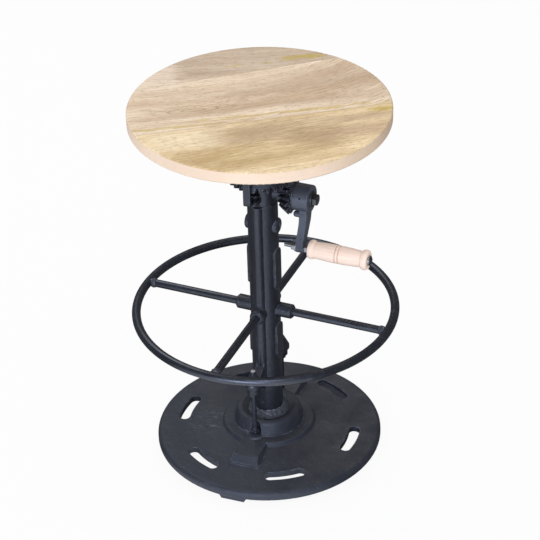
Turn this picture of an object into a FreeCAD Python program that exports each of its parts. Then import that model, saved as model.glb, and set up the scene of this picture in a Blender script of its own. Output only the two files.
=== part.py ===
import FreeCAD, Part
import math
import os
import Sketcher
from FreeCAD import Placement, Rotation, Vector
from types import SimpleNamespace

# Crank stool: a round wooden seat that swivels on a lifting spindle. A crank turns a bevel pinion,
# the pinion turns a crown gear with a nut in it, and the nut lifts the spindle out of the column.
# The origin is on the floor under the column. +Z is up and +X runs out along the crank.

SIZES = (
    ("fit_gap", 0.05, "fixed round fits, on the radius"),
    ("shaft_gap", 0.1, "running shafts, on the radius"),
    ("slide_gap", 0.3, "loose sliding fits, on the radius"),
    ("clear_gap", 0.6, "open holes round the spindle, on the radius"),
    ("rod_gap", 0.15, "stay rods in their holes, on the radius"),
    ("end_gap", 0.2, "running gap between end faces"),
    ("drill_past", 1.0, "tapped holes, past the screw's end"),
    ("base_radius", 164.5, "base casting, rim"),
    ("foot_height", 9.0, "base casting, feet"),
    ("foot_width", 12.0, "base casting, feet, across"),
    ("foot_length", 48.0, "base casting, feet, along the rim at the top"),
    ("foot_sole", 34.0, "base casting, feet, along the rim at the floor"),
    ("rim_height", 13.4, "base casting, rim"),
    ("rim_width", 13.0, "base casting, rim"),
    ("rim_round", 6.5, "base casting, upper rim rounding"),
    ("cast_round", 3.0, "base casting, other roundings"),
    ("plate_rise", 3.2, "base casting, rise of the plate from rim to waist"),
    ("waist_radius", 112.0, "base casting, where the plate starts to climb to the hub"),
    ("waist_rise", 5.9, "base casting, rise of the plate from waist to hub"),
    ("plate_wall", 9.0, "base casting, plate thickness"),
    ("step_radius", 68.0, "base hub, lower step"),
    ("step_height", 6.5, "base hub, lower step"),
    ("step_draft", 2.0, "base hub, draft of the lower step"),
    ("collar_radius", 51.0, "base hub, foot of the collar"),
    ("collar_land", 46.0, "base hub, top of the collar"),
    ("collar_height", 21.0, "base hub, collar above the step"),
    ("collar_round", 6.0, "base hub, rounding of the collar"),
    ("cup_room", 8.6, "base hub, cup round the column tube"),
    ("cup_depth", 9.0, "base hub, cup"),
    ("cup_flare", 9.0, "base hub, flare at the top of the cup"),
    ("flare_depth", 4.0, "base hub, depth of the flare"),
    ("hub_thickness", 28.0, "base hub, from the cup's floor to the underside"),
    ("hub_under_radius", 58.0, "base hub, underside"),
    ("pocket_width", 7.0, "base hub, drain pocket in the collar's top"),
    ("pocket_inset", 1.0, "base hub, drain pocket, from the cup's wall"),
    ("pocket_start", -76.0, "base hub, drain pocket, azimuth of its first end, degrees"),
    ("pocket_arc", 30.0, "base hub, drain pocket, degrees"),
    ("pocket_depth", 7.0, "base hub, drain pocket"),
    ("ear_pad_radius", 10.5, "base hub, pads under the stay nuts"),
    ("ear_pad_height", 3.0, "base hub, pads under the stay nuts"),
    ("ear_pad_spread", 24.0, "base hub, pads under the stay nuts, half width at the collar"),
    ("spot_room", 0.4, "base hub, spot faces round the stay washers"),
    ("base_turn", 3.0, "base casting, turned on the column, degrees"),
    ("slot_circle", 127.0, "base slots, radius of their middle line"),
    ("slot_width", 16.0, "base slots"),
    ("slot_arc", 20.0, "base slots, between end centres, degrees"),
    ("closed_depth", 7.0, "base slots, floor of the one that is cast closed, below the plate's waist"),
    ("block_width", 44.0, "base blocks, across at the foot"),
    ("block_reach", 101.0, "base blocks, end of the top face"),
    ("block_bevel", 9.0, "base blocks, length of the sloping nose"),
    ("block_rise", 8.5, "base blocks, height of the sloping sides"),
    ("block_draft", 4.0, "base blocks, slope of each side"),
    ("spigot_radius", 15.0, "column spigot through the base"),
    ("spigot_nut", 26.0, "nut under the base, across corners, radius"),
    ("spigot_nut_height", 11.0, "nut under the base"),
    ("bore_room", 2.5, "column tube, bore round the spindle"),
    ("tube_wall", 5.4, "column tube"),
    ("tube_length", 358.0, "column tube, from the cup's floor to its top"),
    ("tube_solid", 30.0, "column tube, solid foot"),
    ("rib_radius", 8.0, "column ribs"),
    ("rib_sink", 2.5, "column ribs, centre inside the tube's surface"),
    ("pad_width", 17.0, "column pads"),
    ("pad_height", 1.3, "column pads, proud of the tube"),
    ("pad_turn", -6.0, "column pads, turned from the sides, degrees"),
    ("pad_high_drop", 72.0, "upper pads, top below the tube's top"),
    ("pad_high_length", 68.0, "upper pads"),
    ("pad_low_rise", 100.5, "lower pads, lower end above the cup's floor"),
    ("pad_low_length", 61.0, "lower pads"),
    ("weld_rise", 15.0, "column weld, at the tube"),
    ("weld_belly", 9.0, "column weld, half way across"),
    ("weld_edge", 5.0, "column weld, at the cup"),
    ("rod_offset", 52.0, "stay rods, from the column axis"),
    ("rod_radius", 3.6, "stay rods"),
    ("rod_depth", 8.0, "stay rods, depth in the hub"),
    ("rod_stand", 6.5, "stay rods, above the lugs"),
    ("rod_nut", 7.0, "stay nuts, across corners, radius"),
    ("rod_nut_height", 6.0, "stay nuts"),
    ("rod_washer", 8.0, "stay washers, radius"),
    ("rod_washer_height", 2.2, "stay washers"),
    ("lug_rise", 66.0, "column lugs, underside above the cup's floor"),
    ("lug_height", 16.0, "column lugs, boss"),
    ("lug_boss", 9.5, "column lugs, boss radius"),
    ("lug_rim", 12.3, "column lugs, rim radius"),
    ("lug_rim_height", 5.0, "column lugs, rim"),
    ("lug_cone", 15.0, "column lugs, cone height"),
    ("lug_lip", 1.3, "column lugs, lip round the rod"),
    ("lug_web_rise", 12.0, "front lug, web above the rim at the rib"),
    ("lug_back_rise", 42.0, "back lug, web above the rim at the rib"),
    ("lug_web", 12.0, "column lugs, web thickness"),
    ("ring_radius", 184.15, "foot ring, centre line"),
    ("ring_bar", 6.35, "foot ring, bar radius"),
    ("ring_rise", 182.0, "foot ring, centre above the cup's floor"),
    ("spoke_radius", 5.75, "spokes, bar radius"),
    ("socket_wall", 4.75, "spoke sockets, wall"),
    ("socket_length", 16.1, "side sockets, past the ribs"),
    ("socket_short", 8.6, "front and back sockets, past the ribs"),
    ("socket_chamfer", 2.5, "spoke sockets, chamfer"),
    ("bead_height", 1.55, "spoke welds, proud of the spoke"),
    ("bead_length", 6.0, "spoke welds, along the spoke"),
    ("bead_lap", 2.5, "spoke welds, lap over the ring"),
    ("key_drop", 37.0, "key screws, below the tube's top"),
    ("key_head", 11.0, "key screws, head radius"),
    ("key_head_height", 2.4, "key screws, head"),
    ("key_shank", 4.0, "key screws, shank radius"),
    ("key_tip", 2.5, "key screws, tip radius"),
    ("key_side_gap", 0.4, "key screws, tip in the keyway, each side"),
    ("key_end_gap", 0.7, "key screws, tip from the keyway's floor"),
    ("spindle_radius", 13.5, "lift spindle"),
    ("lift", 160.0, "lift of the seat"),
    ("keyway_depth", 3.3, "lift spindle, keyways"),
    ("keyway_margin", 4.0, "lift spindle, keyway past the key screws"),
    ("spindle_tail", 22.5, "lift spindle, below the keyways"),
    ("guide_height", 8.0, "spindle foot disc"),
    ("guide_chamfer", 1.0, "spindle foot disc, chamfer"),
    ("guide_screw", 3.0, "spindle foot screw, shank radius"),
    ("guide_screw_head", 6.0, "spindle foot screw, head radius"),
    ("guide_screw_length", 20.0, "spindle foot screw, in the spindle"),
    ("collar_step", 5.5, "lift spindle, collar past the rod"),
    ("spindle_collar", 6.0, "lift spindle, collar height"),
    ("stop_gap", 1.5, "lift spindle, collar above the bridge"),
    ("journal_step", 3.1, "lift spindle, seat pivot below the rod"),
    ("journal_length", 45.7, "lift spindle, seat pivot"),
    ("bush_wall", 3.5, "spindle bush"),
    ("bush_floor", 4.0, "spindle bush, lower end above the tube"),
    ("neck_wall", 3.5, "head casting, neck"),
    ("neck_spigot", 12.0, "head casting, spigot in the column"),
    ("stud_rise", 16.2, "crank stud, axis above the tube"),
    ("stud_boss", 0.5, "head casting, stud boss past the stud's shoulder"),
    ("stud_boss_height", 5.0, "head casting, stud boss"),
    ("ear_rise", 16.0, "head casting, top of the ears above the tube"),
    ("ear_thickness", 7.0, "head casting, ears"),
    ("ear_radius", 7.0, "head casting, ear ends"),
    ("ear_bolt_room", 13.0, "stirrup bolts, from the neck's bore"),
    ("ear_bolt", 3.0, "stirrup bolts, shank radius"),
    ("ear_bolt_head", 5.6, "stirrup bolts, head across corners, radius"),
    ("ear_bolt_head_height", 4.2, "stirrup bolts, head"),
    ("stirrup_width", 10.0, "gear stirrup, strap"),
    ("stirrup_thickness", 4.2, "gear stirrup, strap"),
    ("stirrup_room", 1.3, "gear stirrup, from the crown gear's teeth"),
    ("stirrup_round", 6.0, "gear stirrup, outer corners"),
    ("bridge_thickness", 6.6, "gear stirrup, bridge"),
    ("bridge_lip", 1.0, "gear stirrup, bridge past the gear's hub"),
    ("washer_thickness", 2.2, "thrust washers"),
    ("washer_inset", 1.0, "thrust washers, inside the gear's hub"),
    ("tooth_module", 3.2, "bevel teeth, module at the large end"),
    ("pinion_teeth", 15, "bevel pinion, teeth"),
    ("gear_teeth", 29, "crown gear, teeth"),
    ("pressure_angle", 20.0, "bevel teeth, degrees"),
    ("root_modules", 1.2, "bevel teeth, depth below the pitch cone, in modules"),
    ("face_modules", 5.0, "bevel teeth, length along the cone, in modules"),
    ("backlash", 0.4, "bevel teeth, on the pitch circle"),
    ("gear_web", 5.6, "crown gear, metal behind the teeth"),
    ("gear_hub_rise", 3.0, "crown gear, hub above its back"),
    ("gear_hub_wall", 4.0, "crown gear, hub"),
    ("nut_wall", 5.5, "lift nut"),
    ("stud_radius", 7.0, "crank stud"),
    ("stud_end", 5.0, "crank stud, end in the head casting, radius"),
    ("stud_floor", 0.9, "crank stud, wall left behind its end"),
    ("stud_shoulder", 1.5, "crank stud, shoulder"),
    ("crank_bush", 2.5, "crank bush, wall"),
    ("pinion_flange", 2.8, "bevel pinion, flange behind the teeth"),
    ("pinion_step", 1.0, "bevel pinion, flange inside the crank's hub"),
    ("pinion_nose", 1.3, "bevel pinion, nose inside the root"),
    ("drive_pin", 2.5, "drive pins, radius"),
    ("drive_pin_half", 6.0, "drive pins, length each side of the joint face"),
    ("crank_hub", 19.3, "crank arm, hub radius"),
    ("crank_hub_length", 22.8, "crank arm, hub"),
    ("crank_hub_round", 1.2, "crank arm, hub edges"),
    ("crank_throw", 81.0, "crank arm, stud to handle bolt"),
    ("arm_thickness", 10.6, "crank arm, bar"),
    ("arm_top_width", 23.0, "crank arm, bar width at the stud"),
    ("arm_foot_width", 15.5, "crank arm, bar width at the handle bolt"),
    ("arm_inset", 7.6, "crank arm, bar middle inside the hub's outer face"),
    ("arm_knee_drop", 38.0, "crank arm, knee below the stud"),
    ("arm_knee_lean", 3.5, "crank arm, lean down to the knee"),
    ("arm_ankle_drop", 74.0, "crank arm, ankle below the stud"),
    ("arm_lean", 9.8, "crank arm, lean down to the ankle"),
    ("arm_face", 0.5, "crank arm, handle faces proud of the bar"),
    ("oil_hole", 1.3, "crank arm, oil hole radius"),
    ("oil_turn", 66.0, "crank arm, oil hole, tilt from upright, degrees"),
    ("dimple", 1.1, "crank arm, drilled mark, radius"),
    ("dimple_drop", 65.5, "crank arm, drilled mark below the stud"),
    ("peg_radius", 4.4, "crank peg"),
    ("peg_length", 14.5, "crank peg"),
    ("peg_round", 3.5, "crank peg, rounding of its end"),
    ("peg_drop", 23.5, "crank peg, below the stud"),
    ("peg_side", 7.0, "crank peg, in front of the stud"),
    ("crank_bolt", 4.0, "crank bolt, shank radius"),
    ("crank_bolt_depth", 16.0, "crank bolt, in the stud"),
    ("crank_bolt_head", 8.8, "crank bolt, head across corners, radius"),
    ("crank_bolt_head_height", 6.2, "crank bolt, head"),
    ("crank_washer", 11.0, "crank washer, radius"),
    ("crank_washer_height", 2.3, "crank washer"),
    ("handle_bolt", 3.0, "handle bolt, radius"),
    ("handle_bolt_tail", 19.0, "handle bolt, past the arm's inner face"),
    ("bolt_chamfer", 1.0, "handle bolt, chamfer of its end"),
    ("handle_nut", 6.4, "handle nuts, across corners, radius"),
    ("handle_nut_height", 5.5, "handle nuts"),
    ("handle_washer", 7.2, "handle washers, radius"),
    ("handle_washer_height", 2.0, "handle washers"),
    ("handle_head", 5.8, "handle bolt, head radius"),
    ("handle_head_height", 2.2, "handle bolt, head"),
    ("grip_length", 88.0, "grip"),
    ("grip_bead_length", 9.0, "grip, end beads"),
    ("grip_bead_drop", 3.6, "grip, end faces inside the beads' crests"),
    ("grip_bead_round", 4.5, "grip, rounding of the beads"),
    ("grip_near_bead", 13.6, "grip, inner bead radius"),
    ("grip_far_bead", 14.5, "grip, outer bead radius"),
    ("grip_shoulder", 12.2, "grip, radius beside the inner bead"),
    ("grip_belly", 12.9, "grip, belly radius"),
    ("grip_neck", 11.4, "grip, radius beside the outer bead"),
    ("grip_groove", 0.8, "grip, turned grooves, depth"),
    ("grip_groove_half", 1.0, "grip, turned grooves, half width"),
    ("grip_groove_space", 4.6, "grip, turned grooves, apart"),
    ("swivel_bush", 2.6, "swivel bush, wall"),
    ("pivot_play", 1.5, "seat flange, hub below the pivot's top"),
    ("pivot_bolt", 5.0, "pivot bolt, shank radius"),
    ("pivot_bolt_head", 8.6, "pivot bolt, head across corners, radius"),
    ("pivot_bolt_head_height", 7.0, "pivot bolt, head"),
    ("pivot_bolt_length", 24.0, "pivot bolt, in the spindle"),
    ("pivot_washer_step", 3.0, "pivot washer, past the bush"),
    ("pivot_washer_height", 2.5, "pivot washer"),
    ("flange_radius", 85.0, "seat flange, plate"),
    ("flange_plate", 6.0, "seat flange, plate thickness"),
    ("flange_hub_wall", 5.0, "seat flange, foot of the hub"),
    ("flange_waist", 7.0, "seat flange, hub half way up"),
    ("flange_flare", 13.0, "seat flange, hub at the plate"),
    ("flange_pocket_room", 6.0, "seat flange, pocket round the pivot washer"),
    ("flange_pocket_depth", 14.2, "seat flange, pocket below the seat"),
    ("seat_screw_circle", 70.0, "seat screws, radius of their circle"),
    ("seat_screw", 2.5, "seat screws, shank radius"),
    ("seat_screw_head", 4.5, "seat screws, head radius"),
    ("seat_screw_head_height", 2.7, "seat screws, head"),
    ("seat_screw_bite", 11.0, "seat screws, depth in the wood"),
    ("seat_radius", 179.0, "seat board"),
    ("seat_thickness", 18.6, "seat board"),
    ("seat_round", 2.0, "seat board, edge rounding"),
)

doc = FreeCAD.newDocument("crank_stool")
sheet = doc.addObject("Spreadsheet::Sheet", "sizes")
for row, (name, value, words) in enumerate(SIZES, start=1):
    sheet.set(f"A{row}", words)
    sheet.set(f"B{row}", str(value))
    sheet.setAlias(f"B{row}", name)
doc.recompute()


class Size:
    """A size worked out from the sheet: its value, and the expression that gives it."""

    def __init__(self, value, text):
        self.value = value
        self.text = text

    def joined(self, sign, other, value):
        return Size(value, f"({self.text} {sign} {as_size(other).text})")

    def __add__(self, other):
        return self.joined("+", other, self.value + as_size(other).value)

    def __sub__(self, other):
        return self.joined("-", other, self.value - as_size(other).value)

    def __mul__(self, other):
        return self.joined("*", other, self.value * as_size(other).value)

    def __truediv__(self, other):
        return self.joined("/", other, self.value / as_size(other).value)

    def __neg__(self):
        return Size(-self.value, f"(0 - {self.text})")


def as_size(number):
    return number if isinstance(number, Size) else Size(float(number), str(number))


def square_root(size):
    return Size(math.sqrt(size.value), f"sqrt({size.text})")


s = SimpleNamespace(**{name: Size(float(value), f"sizes.{name}") for name, value, words in SIZES})
nodes = []


def tie(thing, **sizes):
    """Binds a piece's properties to the sheet."""
    for name, size in sizes.items():
        thing.setExpression(name, as_size(size).text)
    return thing


TURNS = {"z": Rotation(), "x": Rotation(Vector(0, 1, 0), 90)}
THIRDS = (0, 120, 240)
QUARTERS = (0, 90, 180, 270)
SIXTHS = [60 * step for step in range(6)]


def place(thing, at=(0, 0, 0), toward="z"):
    """Stands a piece at a point, with its own Z turned towards a row axis."""
    thing.Placement = Placement(Vector(*(as_size(size).value for size in at)), TURNS[toward])
    for axis, size in zip("xyz", at):
        thing.setExpression(f"Placement.Base.{axis}", as_size(size).text)
    return thing


def cylinder(name, radius, height, at=(0, 0, 0), toward="z"):
    thing = doc.addObject("Part::Cylinder", name)
    return place(tie(thing, Radius=radius, Height=height), at, toward)


def cone(name, radius_low, radius_high, height, at=(0, 0, 0)):
    thing = doc.addObject("Part::Cone", name)
    return place(tie(thing, Radius1=radius_low, Radius2=radius_high, Height=height), at)


def box(name, size, at):
    thing = doc.addObject("Part::Box", name)
    return place(tie(thing, Length=size[0], Width=size[1], Height=size[2]), at)


def hexagon(name, radius, height, at=(0, 0, 0), toward="z"):
    thing = doc.addObject("Part::Prism", name)
    thing.Polygon = 6
    return place(tie(thing, Circumradius=radius, Height=height), at, toward)


def fuse(name, things):
    thing = doc.addObject("Part::MultiFuse", name)
    thing.Shapes = things
    thing.Refine = True
    return thing


def cut(name, base, *tools):
    thing = doc.addObject("Part::Cut", name)
    thing.Base = base
    thing.Tool = tools[0] if len(tools) == 1 else group(f"{name}_tools", tools)
    return thing


def common(name, first, second):
    thing = doc.addObject("Part::Common", name)
    thing.Base = first
    thing.Tool = second
    return thing


def group(name, things):
    thing = doc.addObject("Part::Compound", name)
    thing.Links = list(things)
    return thing


def around(name, thing, azimuths):
    """Copies of one piece, turned about the column's axis."""
    copies = []
    for count, azimuth in enumerate(azimuths, start=1):
        copy = group(f"{name}_{count}", [thing])
        copy.Placement = Placement(Vector(), Rotation(Vector(0, 0, 1), azimuth))
        copies.append(copy)
    return copies


def node(name, thing):
    thing.Label = name
    nodes.append(thing)
    return thing


def outlined_body(name, role, outline):
    """A body with a closed sketch whose every corner is tied to the sheet."""
    body = doc.addObject("PartDesign::Body", name)
    sketch = body.newObject("Sketcher::SketchObject", f"{name}_outline")
    plane = next(part for part in body.Origin.OriginFeatures if part.Role == role)
    sketch.AttachmentSupport = [(plane, "")]
    sketch.MapMode = "FlatFace"
    outline = [(as_size(across), as_size(up)) for across, up in outline]
    corners = [Vector(across.value, up.value, 0) for across, up in outline]
    count = len(corners)
    for index in range(count):
        sketch.addGeometry(Part.LineSegment(corners[index], corners[(index + 1) % count]), False)
    for index in range(count):
        sketch.addConstraint(Sketcher.Constraint("Coincident", index, 2, (index + 1) % count, 1))
    for index, corner in enumerate(outline):
        for kind, axis, size in zip(("DistanceX", "DistanceY"), (-2, -1), corner):
            if size.value == 0:
                sketch.addConstraint(Sketcher.Constraint("PointOnObject", index, 1, axis))
                continue
            rule = Sketcher.Constraint(kind, -1, 1, index, 1, size.value)
            sketch.setExpression(f"Constraints[{sketch.addConstraint(rule)}]", size.text)
    return body, sketch


def turned(name, outline, at=(0, 0, 0), toward="z"):
    """A lathe piece: corners are (radius, height along its own axis)."""
    body, sketch = outlined_body(name, "XZ_Plane", outline)
    turn = body.newObject("PartDesign::Revolution", f"{name}_turn")
    turn.Profile = sketch
    turn.ReferenceAxis = (sketch, ["V_Axis"])
    turn.Angle = 360
    return place(body, at, toward)


def ring(name, inner, outer, low, high, at=(0, 0, 0), toward="z"):
    return turned(name, ((inner, low), (outer, low), (outer, high), (inner, high)), at, toward)


def padded(name, role, outline, width):
    """A plate cut to an outline, with half its width each side of the plane."""
    body, sketch = outlined_body(name, role, outline)
    pad = body.newObject("PartDesign::Pad", f"{name}_pad")
    pad.Profile = sketch
    pad.Midplane = True
    tie(pad, Length=width)
    return body


def rounded(body, radius, wanted):
    """Rounds the edges of a body for which wanted(edge) holds."""
    doc.recompute()
    before = body.Tip
    edges = [f"Edge{index}" for index, edge in enumerate(before.Shape.Edges, start=1) if wanted(edge)]
    fillet = body.newObject("PartDesign::Fillet", f"{body.Name}_round")
    fillet.Base = (before, edges)
    tie(fillet, Radius=radius)
    body.Tip = fillet
    return body


def rims(*corners):
    """Picks the circular edges at each (radius, height) of a lathe piece."""
    places = [(as_size(across).value, as_size(up).value) for across, up in corners]

    def wanted(edge):
        if not isinstance(edge.Curve, Part.Circle):
            return False
        found = (edge.Curve.Radius, edge.Curve.Center.z)
        return any(math.dist(found, here) < 0.01 for here in places)

    return wanted


# Heights, from the floor up to the top of the column
rim_low = s.foot_height
rim_top = rim_low + s.rim_height
waist = rim_top + s.plate_rise
plate_top = waist + s.waist_rise
step_top = plate_top + s.step_height
nut_seat = step_top + s.ear_pad_height
collar_top = step_top + s.collar_height
cup_floor = collar_top - s.cup_depth
hub_under = cup_floor - s.hub_thickness
tube_top = cup_floor + s.tube_length

# The column is bored round the spindle
bore_radius = s.spindle_radius + s.bore_room
tube_radius = bore_radius + s.tube_wall

# Base casting: a shallow cone with a stepped hub, six slots of which one is cast closed, three feet
# and two blocks
cup_radius = tube_radius + s.cup_room
base_blank = turned("base_blank", (
    (s.spigot_radius + s.fit_gap, hub_under),
    (s.hub_under_radius, hub_under),
    (s.waist_radius, waist - s.plate_wall),
    (s.base_radius - s.rim_width, rim_top - s.plate_wall),
    (s.base_radius - s.rim_width, rim_low),
    (s.base_radius, rim_low),
    (s.base_radius, rim_top),
    (s.waist_radius, waist),
    (s.step_radius, plate_top),
    (s.step_radius - s.step_draft, step_top),
    (s.collar_radius, step_top),
    (s.collar_radius, nut_seat),
    (s.collar_land, collar_top),
    (cup_radius + s.cup_flare, collar_top),
    (cup_radius, collar_top - s.flare_depth),
    (cup_radius, cup_floor),
    (s.spigot_radius + s.fit_gap, cup_floor),
))
rounded(base_blank, s.rim_round, rims((s.base_radius, rim_top)))
rounded(base_blank, s.collar_round, rims((s.collar_land, collar_top)))
rounded(base_blank, s.cast_round, rims(
    (s.base_radius, rim_low),
    (s.step_radius, plate_top),
    (s.step_radius - s.step_draft, step_top),
))

foot = padded("foot_blank", "XZ_Plane", (
    (-s.foot_sole / 2, 0),
    (s.foot_sole / 2, 0),
    (s.foot_length / 2, rim_low + s.cast_round),
    (-s.foot_length / 2, rim_low + s.cast_round),
), s.foot_width)
place(foot, (0, s.rim_width - s.base_radius - s.fit_gap, 0))
block_start = s.collar_radius + s.cast_round
nose = s.block_reach + s.block_bevel
block_slope = tie(doc.addObject("Part::Wedge", "block_slope"),
    Xmin=-s.block_width / 2, Xmax=s.block_width / 2, X2min=s.block_draft - s.block_width / 2,
    X2max=s.block_width / 2 - s.block_draft, Ymin=0, Ymax=s.block_rise,
    Zmin=block_start, Zmax=nose, Z2min=block_start, Z2max=s.block_reach)
block_low = step_top - s.block_rise
place(block_slope, (0, 0, block_low))
block_slope.Placement.Rotation = Rotation(Vector(1, 0, 0), 90)
block_foot = box("block_foot", (s.block_width, nose - block_start, block_low - rim_top),
                 (-s.block_width / 2, -nose, rim_top))
block = fuse("block", [block_slope, block_foot])
ear_root = square_root(s.collar_radius * s.collar_radius - s.ear_pad_spread * s.ear_pad_spread)
ear_pad = fuse("ear_pad", [
    padded("ear_pad_web", "XY_Plane", (
        (-s.ear_pad_spread, ear_root),
        (s.ear_pad_spread, ear_root),
        (s.ear_pad_radius, s.rod_offset),
        (-s.ear_pad_radius, s.rod_offset),
    ), s.ear_pad_height * 2),
    cylinder("ear_pad_end", s.ear_pad_radius, s.ear_pad_height * 2,
             (0, s.rod_offset, -s.ear_pad_height)),
])
place(ear_pad, (0, 0, step_top))


def arc_slot(name, circle, width, arc, low, height):
    """A slot with round ends, bent round the column's axis from azimuth 0 to its arc."""
    outer = tie(cylinder(f"{name}_outer", circle + width / 2, height, (0, 0, low)), Angle=arc)
    inner = cylinder(f"{name}_inner", circle - width / 2, height, (0, 0, low))
    first = cylinder(f"{name}_first", width / 2, height, (circle, 0, low))
    last = cylinder(f"{name}_last", width / 2, height, (circle, 0, low))
    last.setExpression("Placement.Base.x", f"{circle.text} * cos({arc.text} * 1deg)")
    last.setExpression("Placement.Base.y", f"{circle.text} * sin({arc.text} * 1deg)")
    return fuse(name, [cut(f"{name}_band", outer, inner), first, last])


slot = arc_slot("slot", s.slot_circle, s.slot_width, s.slot_arc, as_size(0), step_top)
closed_slot = arc_slot("closed_slot", s.slot_circle, s.slot_width, s.slot_arc,
                       waist - s.closed_depth, step_top)
pocket_circle = cup_radius + s.pocket_inset + s.pocket_width / 2
pocket = arc_slot("pocket", pocket_circle, s.pocket_width, s.pocket_arc,
                  collar_top - s.pocket_depth, s.collar_height)
base_turn = s.base_turn.value
slot_start = base_turn - s.slot_arc.value / 2
open_slot, closed_place, *more_slots = [slot_start + turn for turn in SIXTHS]
base_tools = around("slot_copy", slot, [open_slot, *more_slots])
base_tools += around("closed_slot_copy", closed_slot, [closed_place])
base_tools += around("pocket_copy", pocket, [s.pocket_start.value])
rod_hole = cylinder("rod_hole", s.rod_radius + s.rod_gap, s.rod_depth + s.ear_pad_height,
                    (0, s.rod_offset, step_top - s.rod_depth))
spot_face = cylinder("spot_face", s.rod_washer + s.spot_room, s.collar_height,
                     (0, s.rod_offset, nut_seat))
base_tools += around("rod_hole_copy", rod_hole, (0, 180))
base_tools += around("spot_face_copy", spot_face, (0, 180))
base_solid = fuse("base_solid", [
    base_blank,
    *around("foot_copy", foot, [base_turn + turn for turn in THIRDS]),
    *around("block_copy", block, [base_turn, base_turn + 180]),
    *around("ear_pad_copy", ear_pad, (0, 180)),
])
hub_bore = cylinder("hub_bore", cup_radius, s.collar_height, (0, 0, cup_floor))
node("base_casting", cut("base_cut", base_solid, hub_bore, *base_tools))

spigot_foot = hub_under - s.spigot_nut_height
node("column_nut", cut("column_nut_cut",
    hexagon("column_nut_blank", s.spigot_nut, s.spigot_nut_height, (0, 0, spigot_foot)),
    cylinder("column_nut_bore", s.spigot_radius + s.fit_gap, cup_floor)))

# Column: a cast tube with a half-round rib front and back, raised pads at the sides, seats for the
# key screws, and two lugs on webs that take the stay rods
rib_offset = tube_radius - s.rib_sink
rib_crest = rib_offset + s.rib_radius
key_height = tube_top - s.key_drop
key_seat = tube_radius + s.end_gap
lug_low = cup_floor + s.lug_rise
lug_top = lug_low + s.lug_height
rod_top = lug_top + s.lug_cone + s.rod_stand


def pad_pair(name, low, tall):
    """A raised obround on each side of the column."""
    face = tube_radius + s.pad_height
    half = s.pad_width / 2
    shape = fuse(f"{name}_shape", [
        cylinder(f"{name}_low", half, face, (0, 0, low + half), "x"),
        cylinder(f"{name}_top", half, face, (0, 0, low + tall - half), "x"),
        box(f"{name}_face", (face, s.pad_width, tall - s.pad_width), (0, -half, low + half)),
    ])
    return around(name, shape, (s.pad_turn.value, s.pad_turn.value + 180))


def lug(name, web_rise):
    """A boss for a stay rod, with a cone on top, on a web from the rib behind it."""
    web = padded(f"{name}_web", "YZ_Plane", (
        (rib_offset, lug_low - s.lug_height),
        (rib_crest, lug_low - s.lug_height / 2),
        (s.rod_offset - s.lug_boss, lug_low),
        (s.rod_offset, lug_low),
        (s.rod_offset, lug_top),
        (rib_crest, lug_top + web_rise),
        (rib_offset, lug_top + web_rise + s.lug_height),
    ), s.lug_web)
    on_rod = (0, s.rod_offset, lug_top)
    return fuse(name, [
        web,
        cylinder(f"{name}_boss", s.lug_boss, s.lug_height, (0, s.rod_offset, lug_low)),
        cylinder(f"{name}_rim", s.lug_rim, s.lug_rim_height,
                 (0, s.rod_offset, lug_top - s.lug_rim_height)),
        cone(f"{name}_cone", s.lug_rim, s.rod_radius + s.lug_lip, s.lug_cone, on_rod),
    ])


rib = cylinder("rib", s.rib_radius, tube_top - lug_low, (0, rib_offset, lug_low))
seat_disc = cylinder("seat_disc", s.key_head + s.key_side_gap, key_seat, (0, 0, key_height), "x")
ribbed_tube = fuse("ribbed_tube", [
    cylinder("tube", tube_radius, s.tube_length, (0, 0, cup_floor)),
    cylinder("spigot", s.spigot_radius, cup_floor - spigot_foot + s.cup_depth, (0, 0, spigot_foot)),
    *around("rib_copy", rib, (0, 180)),
    lug("back_lug", s.lug_back_rise),
    *around("front_lug_copy", lug("front_lug", s.lug_web_rise), [180]),
])
column_solid = fuse("column_solid", [
    ribbed_tube,
    *pad_pair("upper_pad", tube_top - s.pad_high_drop - s.pad_high_length, s.pad_high_length),
    *pad_pair("lower_pad", cup_floor + s.pad_low_rise, s.pad_low_length),
    *around("seat_disc_copy", seat_disc, (0, 180)),
])
lug_hole = cylinder("lug_hole", s.rod_radius + s.rod_gap, s.lug_rise,
                    (0, s.rod_offset, lug_low - s.lug_height))
node("column", cut("column_cut", column_solid,
    cylinder("column_bore", bore_radius, s.tube_length, (0, 0, cup_floor + s.tube_solid)),
    cylinder("key_hole", s.key_shank + s.fit_gap, key_seat * 2, (-key_seat, 0, key_height), "x"),
    *around("lug_hole_copy", lug_hole, (0, 180))))

node("column_weld", turned("column_weld", (
    (tube_radius + s.fit_gap, cup_floor),
    (cup_radius - s.fit_gap, cup_floor),
    (cup_radius - s.fit_gap, cup_floor + s.weld_edge),
    (cup_radius - s.cup_room / 2, cup_floor + s.weld_belly),
    (tube_radius + s.fit_gap, cup_floor + s.weld_rise),
)))


# Stay rods: two studs from the hub up through the lugs, with a nut and washer on the hub and a
# lock nut under each lug
def on_rods(name, blank):
    """Bores a nut or washer for the rod and copies it to both rods."""
    bore = cylinder(f"{name}_bore", s.rod_radius + s.fit_gap, rod_top, (0, s.rod_offset, 0))
    return around(name, cut(f"{name}_cut", blank, bore), (0, 180))


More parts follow.
